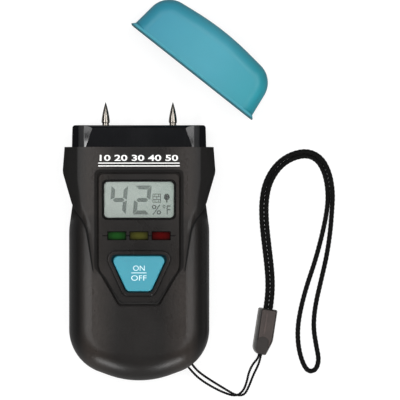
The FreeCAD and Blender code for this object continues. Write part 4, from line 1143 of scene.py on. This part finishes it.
@dataclass
class Display:
    """The display's ground, picture, mask and window."""

    numeral_width: float = 5.8 * MM
    numeral_height: float = 10.2 * MM
    bar: float = 1.4 * MM
    gap: float = 0.12 * MM
    slant: float = 0.085
    film: float = 0.02 * MM
    numerals: tuple[tuple[str, float], ...] = (("4", -10.5 * MM), ("2", -2.2 * MM))
    numerals_foot: float = -5.2 * MM
    wall_at: float = 6.25 * MM
    tree_at: float = 9.8 * MM
    units: tuple[tuple[str, str, float, float], ...] = (("display_percent", "%", 6.15 * MM, 3.3 * MM),
                                                        ("display_degrees", "°F", 9.7 * MM, 2.7 * MM))
    units_height: float = 3.4 * MM
    units_level: float = -3.5 * MM
    mask_gap: float = 0.05 * MM
    mask_width: float = 0.7 * MM
    mask_low: float = 0.03 * MM
    mask_high: float = 0.005 * MM

    def build(self) -> None:
        """Dress the display's pieces and draw its picture."""
        low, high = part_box("lcd_panel")
        lens_low, lens_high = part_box("display_window")
        dress(("lcd_panel",), DisplayGround("display_ground", paint(108, 117, 112), paint(117, 122, 119),
                                            low.x, high.x))
        dress(("lcd_holder",), INNER)
        dress(("contact_strips",), RUBBER)
        dress(("display_window",), Clear("clear_window", (0.97, 0.98, 0.97, 1.0)))
        self.draw_picture(Vector(((lens_low.x + lens_high.x) / 2, (lens_low.y + lens_high.y) / 2, high.z)))
        self.add_mask(lens_low, lens_high)

    def bar_outline(self, which: Segment) -> np.ndarray:
        """Outline of one bar in a numeral that stands on the origin.

        An outer bar is a strip along its edge of the numeral with both ends cut at 45 degrees, so
        that its outer side is the longer one; the middle bar is pointed at both ends.

        Args:
            which: The bar.

        Returns:
            The outline's points.
        """
        wide, tall, bar, gap = self.numeral_width, self.numeral_height, self.bar, self.gap
        waist = tall / 2
        if which is Segment.MIDDLE:
            half = bar / 2
            return np.array([[half + gap, waist], [bar + gap, waist - half], [wide - bar - gap, waist - half],
                             [wide - half - gap, waist], [wide - bar - gap, waist + half],
                             [bar + gap, waist + half]])
        if which in (Segment.TOP, Segment.FOOT):
            outline = np.array([[gap, 0.0], [wide - gap, 0.0], [wide - bar - gap, bar], [bar + gap, bar]])
            turned, mirrored = which is Segment.TOP, False
        else:
            outline = np.array([[0.0, gap], [bar, bar + gap], [bar, waist - bar / 2 - gap],
                                [0.0, waist - gap]])
            turned = which in (Segment.TOP_LEFT, Segment.TOP_RIGHT)
            mirrored = which in (Segment.TOP_RIGHT, Segment.LOW_RIGHT)
        if turned:
            outline[:, 1] = tall - outline[:, 1]
        if mirrored:
            outline[:, 0] = wide - outline[:, 0]
        return outline

    def numeral(self, digit: str, corner: Span, face: float) -> list[bpy.types.Mesh]:
        """Raise the bars of one numeral, which leans with its height.

        Args:
            digit: The numeral.
            corner: Its lower left corner.
            face: Height of the surface that it stands on.

        Returns:
            A slab for each bar.
        """
        meshes = []
        for letter in NUMERALS[digit]:
            outline = self.bar_outline(Segment(letter))
            outline[:, 0] += outline[:, 1] * self.slant
            meshes.append(slab("bar", outline + np.array(corner), face, face + self.film))
        return meshes

    def draw_picture(self, middle: Vector) -> None:
        """Draw the numerals, the two material signs and the units.

        Args:
            middle: The middle of the visible ground, on its surface.
        """
        x, y, face = middle
        bars: list[bpy.types.Mesh] = []
        for digit, left in self.numerals:
            bars += self.numeral(digit, (x + left, y + self.numerals_foot), face)
        ink, fine_ink = SEGMENT.build(), FINE_SEGMENT.build()
        wall = self.wall_sign(x + self.wall_at, y, face)
        tree = self.tree_sign(x + self.tree_at, y, face)
        for name, meshes, own_ink in (("display_numerals", bars, ink), ("display_wall_sign", wall, fine_ink),
                                      ("display_tree_sign", tree, fine_ink)):
            add_object(name, joined(name, meshes), "meter", own_ink)
        for name, words, across, width in self.units:
            mesh = lettering(name, words, self.units_height, width, (x + across, y + self.units_level), face,
                             self.film, 0.0)
            add_object(name, mesh, "meter", fine_ink)

    def wall_sign(self, x: float, y: float, face: float) -> list[bpy.types.Mesh]:
        """Draw a wall in three courses: lines across, and joints that shift from course to course.

        Args:
            x: The sign's middle.
            y: The display's middle.
            face: Height of the surface that it lies on.

        Returns:
            A slab for each line.
        """
        line = 0.2 * MM
        half, tall = 1.35 * MM, 2.9 * MM
        low = y - 0.9 * MM
        lines = [((x, low + tall * course / 3), (half, line / 2)) for course in range(4)]
        for course, joints in enumerate(((-0.5, 0.5), (0.0,), (-0.5, 0.5))):
            lines += [((x + joint * half, low + tall * (course + 0.5) / 3), (line / 2, tall / 6))
                      for joint in joints]
        lines += [((x + side * half, low + tall / 2), (line / 2, tall / 2)) for side in (-1, 1)]
        return [slab("line", np.array([[cx - hx, cy - hy], [cx + hx, cy - hy], [cx + hx, cy + hy],
                                       [cx - hx, cy + hy]]), face, face + self.film)
                for (cx, cy), (hx, hy) in lines]

    def tree_sign(self, x: float, y: float, face: float) -> list[bpy.types.Mesh]:
        """Draw a broad-leaved tree: a crown whose radius swells and shrinks round it, on a short trunk.

        Args:
            x: The sign's middle.
            y: The display's middle.
            face: Height of the surface that it lies on.

        Returns:
            A slab for the crown and one for the trunk.
        """
        angle = np.linspace(0, 2 * math.pi, 72, endpoint=False)
        lobes, stretch = 9, 1.15
        radius = (1.02 + 0.07 * np.cos(lobes * angle)) * MM
        middle, foot, neck = y + 0.95 * MM, y - 0.95 * MM, y + 0.1 * MM
        crown = np.c_[x + radius * np.cos(angle), middle + stretch * radius * np.sin(angle)]
        wide, narrow = 0.28 * MM, 0.2 * MM
        trunk = np.array([[x - wide, foot], [x + wide, foot], [x + narrow, neck], [x - narrow, neck]])
        return [slab("crown", crown, face, face + self.film), slab("trunk", trunk, face, face + self.film)]

    def add_mask(self, low: Vector, high: Vector) -> None:
        """Print a dark border with rounded inner corners under the window's edge.

        Args:
            low: The window's lowest corner.
            high: The window's highest corner.
        """
        centre = ((low.x + high.x) / 2, (low.y + high.y) / 2)
        half = np.array([high.x - low.x, high.y - low.y]) / 2
        outer = rounded_box(half - self.mask_gap, 0.9 * MM, centre)
        inner = rounded_box(half - self.mask_gap - self.mask_width, 1.5 * MM, centre)
        under, over = low.z - self.mask_low, low.z - self.mask_high
        rings = [(outer, under), (outer, over), (inner, over), (inner, under), (outer, under)]
        points = np.stack([np.c_[outline, np.full(len(outline), level)] for outline, level in rings])
        mesh = grid_mesh("window_mask", points, True, False)
        add_object("window_mask", mesh, "meter", MASK.build())


# ---------------------------------------------------------------------------------------------
# Lamps, button, head, pins and the inside
# ---------------------------------------------------------------------------------------------
@dataclass
class Lamps:
    """The three lamp windows, each with its deep tone and its paler middle."""

    tones: tuple[tuple[str, Colour, Colour], ...] = (("green", paint(8, 24, 8), paint(20, 64, 20)),
                                                     ("yellow", paint(28, 27, 9), paint(62, 62, 20)),
                                                     ("red", paint(28, 0, 0), paint(68, 0, 0)))

    def build(self) -> None:
        """Dress each light guide in its own colour, and the chips under them."""
        for name, deep, glow in self.tones:
            low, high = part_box(f"light_guide_{name}")
            middle, half = (low + high) / 2, (high - low) / 2
            finish = LampPlastic(f"{name}_lamp", deep, glow, tuple(middle), (half.x, half.y))
            dress((f"light_guide_{name}",), finish)
        dress(("lamp_chips",), INNER)


@dataclass
class Button:
    """The push button and its print."""

    ink_thick: float = 0.03 * MM
    word_height: float = 1.85 * MM
    words: tuple[tuple[str, str, float, float], ...] = (("button_word_on", "ON", 4.1 * MM, 9.25 * MM),
                                                        ("button_word_off", "OFF", 5.4 * MM, 5.8 * MM))
    thinning: float = 0.004
    line_width: float = 5.4 * MM
    line_thick: float = 0.25 * MM
    line_above: float = 7.6 * MM
    skirt_margin: float = 2 * MM
    skirt_below: float = 0.7 * MM

    def build(self) -> None:
        """Dress the button and print its two words."""
        dress(("button_switch", "switch_plunger"), INNER)
        low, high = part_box("set_button")
        face = high.z
        # Painted shade: the key darkens below its face, in the gap round it.
        skirt = Sunk(half=high.x + self.skirt_margin, foot=low.y - self.skirt_margin,
                     top=high.y + self.skirt_margin, level=face - self.skirt_below)
        dress(("set_button",), replace(TEAL, name="button_plastic", layers=(skirt,)))
        ink = KEY_INK.build()
        for name, words, width, above in self.words:
            mesh = lettering(name, words, self.word_height, width, (0, low.y + above), face, self.ink_thick,
                             -self.thinning)
            add_object(name, mesh, "button", ink)
        half = (self.line_width / 2, self.line_thick / 2)
        outline = rounded_box(half, self.line_thick / 2.2, (0, low.y + self.line_above), 3)
        add_object("button_line", slab("button_line", outline, face, face + self.ink_thick), "button",
                   ink)


@dataclass
class Electrodes:
    """The head, the two pins and what carries them inside."""

    # Tone and rim are the head's own colour here, so only the roughness changes.
    flank: FlankSheenAndShade = FlankSheenAndShade(tone=HEAD.colour, rim=HEAD.colour, rise=(18 * MM, 19.1 * MM),
                           fall=(20 * MM, 21 * MM), dull=0.8, spread=0.5 * MM)

    def build(self) -> None:
        """Dress the head, the pins, the nuts and the terminals."""
        dress(("electrode_head",), replace(HEAD, layers=(self.flank,)))
        dress(("electrode_pin_left", "electrode_pin_right"), PIN_STEEL)
        dress(("pin_nuts", "pin_terminal_left", "pin_terminal_right"), BRASS)


@dataclass
class Inside:
    """The board, its chip and the power supply."""

    def build(self) -> None:
        """Dress every piece that the housing hides."""
        dress(("circuit_board",), BOARD)
        dress(("measuring_chip", "battery_tray"), INNER)
        dress([f"button_cell_{number}" for number in range(1, 5)], CELL_STEEL)
        dress(("battery_plate", "battery_spring"), SCREW_STEEL)


@dataclass
class Cap:
    """The cap, off its pins."""

    # Painted shade towards the cap's ends, a painted highlight on its lip and a painted shadow line at its
    # mouth.
    ends: Ends = Ends(middle=(24.3 * MM, 75.1 * MM), turn=-math.radians(38.35), reach=(4 * MM, 21 * MM),
                      tones=(paint(44, 127, 147), paint(38, 133, 146)), mouth=64.72 * MM,
                      lip=1.0 * MM, lip_highlight=paint(88, 170, 186), edge=0.3 * MM, edge_shade=paint(28, 80, 88))

    def build(self) -> None:
        """Dress the cap."""
        dress(("pin_cap",), replace(TEAL, name="cap_plastic", layers=(self.ends,)))


# ---------------------------------------------------------------------------------------------
# Strap
# ---------------------------------------------------------------------------------------------
STRING_ROUTE = [
    (42.60, -31.70, 1.70), (42.30, -33.60, 1.60), (40.40, -35.60, 1.00), (38.90, -38.60, 0.45),
    (38.10, -42.40, 0.45), (36.90, -45.40, 0.45), (34.40, -47.30, 0.45), (30.30, -46.20, 0.45),
    (25.20, -43.60, 1.40), (21.30, -41.00, 3.00), (18.60, -38.30, 4.60), (16.70, -35.90, 5.60),
    (14.72, -33.20, 5.70), (16.70, -32.02, 5.70), (18.10, -34.90, 5.65), (19.80, -37.30, 4.60),
    (22.00, -39.30, 3.00), (26.00, -42.00, 1.30), (30.60, -44.80, 0.50), (34.20, -46.90, 1.60),
    (37.30, -46.90, 1.60), (39.00, -43.60, 0.50), (40.50, -39.60, 0.50), (42.30, -36.00, 1.20),
    (43.00, -33.50, 1.65), (43.30, -31.80, 1.70),
]
CORD_PAIR = [
    (45.70, -16.20, 1.70), (46.50, -11.00, 1.10), (46.40, -3.40, 0.80), (45.30, 5.80, 0.80),
    (44.30, 14.60, 0.80), (44.20, 22.40, 0.80), (45.60, 29.20, 0.80), (49.30, 35.00, 0.80),
    (54.20, 38.30, 0.80), (59.80, 39.40, 0.80), (64.20, 37.20, 0.80), (66.90, 32.00, 0.80),
    (68.00, 25.20, 0.80), (67.60, 18.60, 0.80),
]
CORD_LOOP = [
    (67.90, 11.40, 0.80), (66.60, 2.60, 0.80), (64.50, -6.40, 0.80), (62.50, -15.00, 0.80),
    (61.80, -22.60, 0.80), (62.90, -29.40, 0.80), (63.90, -34.40, 0.80), (62.70, -38.00, 0.80),
    (60.00, -38.50, 0.80), (58.00, -35.40, 0.80), (56.50, -29.80, 0.80), (56.20, -23.40, 0.80),
    (57.20, -16.60, 0.80), (59.40, -8.20, 0.80), (62.40, 0.60, 0.80), (64.80, 9.40, 0.80),
]


def beside(route: Sequence[Point], offset: float) -> list[Point]:
    """Move a route sideways in plan, each point at a right angle to the line between its neighbours.

    Args:
        route: Points in millimetres.
        offset: How far, in millimetres; to its left where that is positive.

    Returns:
        The moved points.
    """
    moved = []
    for number, point in enumerate(route):
        before = Vector(route[max(number - 1, 0)])
        after = Vector(route[min(number + 1, len(route) - 1)])
        along = after - before
        left = Vector((-along.y, along.x, 0)).normalized()
        moved.append(tuple(Vector(point) + left * offset))
    return moved


@dataclass
class Cord:
    """A cord laid along a smooth spline through a route of points in millimetres."""

    name: str
    route: Sequence[Point]
    diameter: float
    ring_points: int
    step: float

    def line(self) -> np.ndarray:
        """Follow the route's spline at even steps.

        Returns:
            Points along the cord, in metres.
        """
        curve = bpy.data.curves.new(self.name + "_line", "CURVE")
        curve.dimensions = "3D"
        spline = curve.splines.new("NURBS")
        spline.points.add(len(self.route) - 1)
        for point, place in zip(spline.points, self.route):
            point.co = (place[0] * MM, place[1] * MM, place[2] * MM, 1.0)
        spline.order_u = 3
        spline.use_endpoint_u = True
        spline.resolution_u = 16
        points = points_of(meshed(curve))
        along = np.r_[0, np.cumsum(np.linalg.norm(np.diff(points, axis=0), axis=1))]
        count = int(along[-1] / self.step) + 1
        even = np.linspace(0, along[-1], count)
        return np.stack([np.interp(even, along, points[:, axis]) for axis in range(3)], axis=-1)

    def frames(self, line: np.ndarray) -> tuple[np.ndarray, np.ndarray, np.ndarray]:
        """Find the directions across the cord at each point.

        Args:
            line: Points along the cord.

        Returns:
            A level direction, an upright one, and the distance along, for each point.
        """
        along = np.gradient(line, axis=0)
        along /= np.linalg.norm(along, axis=1, keepdims=True)
        level = np.cross(np.array([0.0, 0.0, 1.0]), along)
        level /= np.linalg.norm(level, axis=1, keepdims=True)
        upright = np.cross(along, level)
        distance = np.r_[0, np.cumsum(np.linalg.norm(np.diff(line, axis=0), axis=1))]
        return level, upright, distance

    def skin(self, line: np.ndarray, relief: Relief) -> bpy.types.Mesh:
        """Wrap a relief round the line.

        Each ring is a circle about the line whose radius is the relief's at that angle and distance.

        Args:
            line: Points along the cord.
            relief: Radius share, 0 to 1, from the angle round the cord and the distance along it.

        Returns:
            The closed skin, with a UV map along its strands and a crest attribute.
        """
        level, upright, distance = self.frames(line)
        angle = np.linspace(0, 2 * math.pi, self.ring_points, endpoint=False)
        share = relief(angle[None, :], distance[:, None])
        radius = self.diameter / 2 * share
        offset = (np.cos(angle)[None, :, None] * level[:, None, :]
                  + np.sin(angle)[None, :, None] * upright[:, None, :])
        points = line[:, None, :] + radius[:, :, None] * offset
        mesh = grid_mesh(self.name, points, True, True)
        crest = mesh.attributes.new("crest", "FLOAT", "POINT")
        spread = (share - share.min()) / max(share.max() - share.min(), 1e-6)
        crest.data.foreach_set("value", np.broadcast_to(spread, points.shape[:2]).astype(np.float32).ravel())
        corner = np.zeros(len(mesh.loops), np.int32)
        mesh.loops.foreach_get("vertex_index", corner)
        row, column = corner // self.ring_points, corner % self.ring_points
        layer = mesh.uv_layers.new(name="strand")
        flat = np.c_[column / self.ring_points * math.pi * self.diameter / MM, distance[row] / MM]
        layer.data.foreach_set("uv", flat.astype(np.float32).ravel())
        return mesh


@dataclass
class Strap:
    """The string round the housing's post, the clip and the braided hand loop."""

    string_diameter: float = 0.85 * MM
    cord_diameter: float = 1.6 * MM
    strand_gap: float = 0.1
    strands: int = 4
    braid_lay: float = 6.0 * MM
    twist_lay: float = 2.6 * MM
    string_mesh: tuple[int, float] = (14, 0.1 * MM)
    cord_mesh: tuple[int, float] = (32, 0.12 * MM)

    def build(self) -> None:
        """Lay both cords and dress the clip."""
        dress(("strap_clip",), CLIP)
        fibre = Yarn("braid_yarn", paint(2, 2, 2), paint(14, 14, 13), 6.0).build()
        twine = Yarn("string_yarn", paint(2, 2, 2), paint(14, 14, 13), 10.0).build()
        self.lay("strap_thread", "strap_string", STRING_ROUTE, self.string_diameter, self.string_mesh,
                 self.twisted, "string_cord", twine)
        offset = (self.cord_diameter / MM + self.strand_gap) / 2
        route = beside(CORD_PAIR, offset) + CORD_LOOP + beside(CORD_PAIR, -offset)[::-1]
        self.lay("hand_loop", "wrist_cord", route, self.cord_diameter, self.cord_mesh, self.braided,
                 "braid_cord", fibre)

    def lay(self, name: str, node: str, route: Sequence[Point], diameter: float, fineness: tuple[int, float],
            relief: Relief, slot: str, material: bpy.types.Material) -> None:
        """Args:
            name: The cord's name.
            node: The CAD node that it replaces.
            route: Its points in millimetres.
            diameter: Its diameter.
            fineness: Points round it, and the distance between rings.
            relief: Its surface pattern.
            slot: Not used.
            material: Its material.
        """
        cord = Cord(name, route, diameter, *fineness)
        line = cord.line()
        piece = add_object(name, cord.skin(line, relief), "meter", material)
        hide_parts(node)

    def braided(self, angle: np.ndarray, distance: np.ndarray) -> np.ndarray:
        """Radius of a plain braid.

        Two sets of strands wind opposite ways. Each strand is a half-round ridge across its own width,
        and rides up where it passes over and down where it passes under; the higher of the two shows.

        Args:
            angle: Angle round the cord.
            distance: Distance along it.

        Returns:
            The radius as a share of the cord's own.
        """
        turns = angle / (2 * math.pi)
        one = self.strands * (turns + distance / self.braid_lay)
        other = self.strands * (turns - distance / self.braid_lay)
        ridge_one = np.sqrt(np.clip(1 - (2 * (one % 1) - 1) ** 2, 0, 1))
        ridge_other = np.sqrt(np.clip(1 - (2 * (other % 1) - 1) ** 2, 0, 1))
        over_one = np.sin(math.pi * other) * np.where(np.floor(one) % 2 == 0, 1, -1)
        over_other = -np.sin(math.pi * one) * np.where(np.floor(other) % 2 == 0, 1, -1)
        height = np.maximum(ridge_one * (0.7 + 0.3 * over_one), ridge_other * (0.7 + 0.3 * over_other))
        return 0.94 + 0.16 * height

    def twisted(self, angle: np.ndarray, distance: np.ndarray) -> np.ndarray:
        """Radius of three plies twisted together: each is a circle off the middle, turning with distance.

        Args:
            angle: Angle round the cord.
            distance: Distance along it.

        Returns:
            The radius as a share of the cord's own.
        """
        away, ply = 0.4, 0.63
        turned = (angle - 2 * math.pi * distance / self.twist_lay) % (2 * math.pi / 3) - math.pi / 3
        return away * np.cos(turned) + np.sqrt(ply ** 2 - (away * np.sin(turned)) ** 2)


# ---------------------------------------------------------------------------------------------
# Studio
# ---------------------------------------------------------------------------------------------
@dataclass
class Studio:
    """Floor, world, lamps and camera.

    A pair of lamps has a name, its reach to either side of a place, that place, the two sides of
    each lamp, and its power.
    """

    view_centre: Span = (21.5 * MM, 22.6 * MM)
    view_width: float = 141.6 * MM
    view_level: float = 12 * MM
    lens: float = 500.0
    sensor: float = 36.0
    floor_reach: float = 3.0
    floor_grey: float = 0.26
    floor_glow: float = 0.78
    floor_mirrored: float = 0.08
    world_level: float = 0.13
    ceiling_stops: tuple[Span, ...] = ((0.06, 0.4), (0.2, 0.07), (0.9, 0.08), (1.0, 0.15))
    fill: tuple[Point, Span, float] = ((0.02, 0.02, 0.7), (0.4, 0.4), 1.3)
    pairs: tuple[tuple[str, float, Point, Span, float], ...] = (
        ("softbox", 0.235, (0.01, 0.1, 0.62), (0.66, 0.2), 1.4),
        ("strip", 0.46, (0.02, 0.12, 0.60), (0.42, 0.1), 1.3),
        ("low", 0.26, (0.0, -0.60, 0.24), (0.1, 0.1), 1.5))

    def build(self) -> None:
        """Set up everything around the object."""
        self.add_floor()
        self.light_world()
        self.add_lamp("fill", *self.fill, mirrored=False)
        for tag, side in (("left", -1), ("right", 1)):
            for name, reach, (x, y, z), sides, power in self.pairs:
                self.add_lamp(f"{name}_{tag}", (x + side * reach, y, z), sides, power)
        self.add_camera()
        bpy.context.scene.view_settings.view_transform = "Standard"

    def add_floor(self) -> None:
        """Lay a white floor that keeps a soft shadow and shows from above only.

        It glows for rays from the camera and for those that glass passes on, and faintly for mirrored ones.
        """
        reach = self.floor_reach
        corners = np.array([(-reach, -reach, 0), (reach, -reach, 0), (reach, reach, 0), (-reach, reach, 0)])
        floor = placed("floor", new_mesh("floor", corners, [(0, 1, 2, 3)]))
        graph = Graph("floor_white")
        rays = graph.node("ShaderNodeLightPath").outputs
        gloss = graph.times(rays["Is Glossy Ray"], self.floor_mirrored)
        seen = graph.most(graph.most(rays["Is Camera Ray"], gloss), rays["Is Transmission Ray"])
        grey = (self.floor_grey, self.floor_grey, self.floor_grey, 1)
        lit = graph.node("ShaderNodeBsdfDiffuse", {"Color": grey}).outputs[0]
        dark, glow = (graph.node("ShaderNodeEmission", {"Color": (1, 1, 1, 1), "Strength": level}).outputs[0]
                      for level in (0.0, self.floor_glow))
        both = graph.node("ShaderNodeAddShader", {0: lit, 1: graph.blend(seen, dark, glow)}).outputs[0]
        clear = graph.node("ShaderNodeBsdfTransparent").outputs[0]
        below = graph.node("ShaderNodeNewGeometry").outputs["Backfacing"]
        floor.data.materials.append(graph.close(graph.blend(below, both, clear)))

    def light_world(self) -> None:
        """Light dull surfaces evenly, show white behind the object, and give gloss a studio to mirror.

        The mirrored level falls with the height that a ray looks towards: pale at eye level, dark
        between there and the top, and a little paler right above.
        """
        world = bpy.data.worlds.new("studio")
        bpy.context.scene.world = world
        world.use_nodes = True
        sky = Nodes(world.node_tree)
        look = sky.node("ShaderNodeTexCoord").outputs["Generated"]
        height = sky.node("ShaderNodeSeparateXYZ", {0: look}).outputs[2]
        room = sky.node("ShaderNodeValToRGB", {0: height})
        stops = room.color_ramp.elements
        for number, (position, level) in enumerate(self.ceiling_stops):
            stop = stops[number] if number < 2 else stops.new(position)
            stop.position = position
            stop.color = (level, level, level, 1)
        white = (1, 1, 1, 1)
        dull, mirrored, plain = (sky.node("ShaderNodeBackground", {0: colour, 1: level}).outputs[0]
                                 for colour, level in ((white, self.world_level), (room.outputs[0], 1.0),
                                                       (white, 1.0)))
        rays = sky.node("ShaderNodeLightPath").outputs
        seen = sky.most(rays["Is Camera Ray"], rays["Is Transmission Ray"])
        whole = sky.blend(seen, sky.blend(rays["Is Glossy Ray"], dull, mirrored), plain)
        sky.node("ShaderNodeOutputWorld", {0: whole})

    def add_lamp(self, name: str, place: Point, sides: Span, power: float, mirrored: bool = True) -> None:
        """Hang a flat soft lamp that faces the object.

        Args:
            name: The lamp's name.
            place: Where it hangs.
            sides: Its length across the line to the object, level, and its other side.
            power: Its power in watts.
            mirrored: Whether glossy surfaces mirror it.
        """
        light = bpy.data.lights.new(name, "AREA")
        light.shape = "RECTANGLE"
        light.size, light.size_y = sides
        light.energy = power
        lamp = placed(name, light)
        lamp.location = place
        aim = Vector((*self.view_centre, 0)) - Vector(place)
        lamp.rotation_euler = aim.to_track_quat("-Z", "Y").to_euler()
        lamp.visible_camera = False
        lamp.visible_glossy = mirrored
        lamp.visible_transmission = mirrored

    def add_camera(self) -> None:
        """Look straight down with a long lens."""
        camera = bpy.data.cameras.new("camera")
        camera.lens = self.lens
        camera.sensor_width = self.sensor
        camera.clip_start, camera.clip_end = 0.05, 20.0
        away = self.view_width * self.lens / self.sensor
        holder = placed("camera", camera)
        holder.location = (*self.view_centre, self.view_level + away)
        bpy.context.scene.camera = holder


def main() -> None:
    """Dress the object and set up the studio around it."""
    logging.basicConfig(level=logging.INFO, format="%(name)s: %(message)s")
    for part in (Housing(), Display(), Lamps(), Button(), Electrodes(), Inside(), Cap(), Strap(), Studio()):
        part.build()
        LOG.info("%s is done", type(part).__name__)


if __name__ == "__main__":
    main()
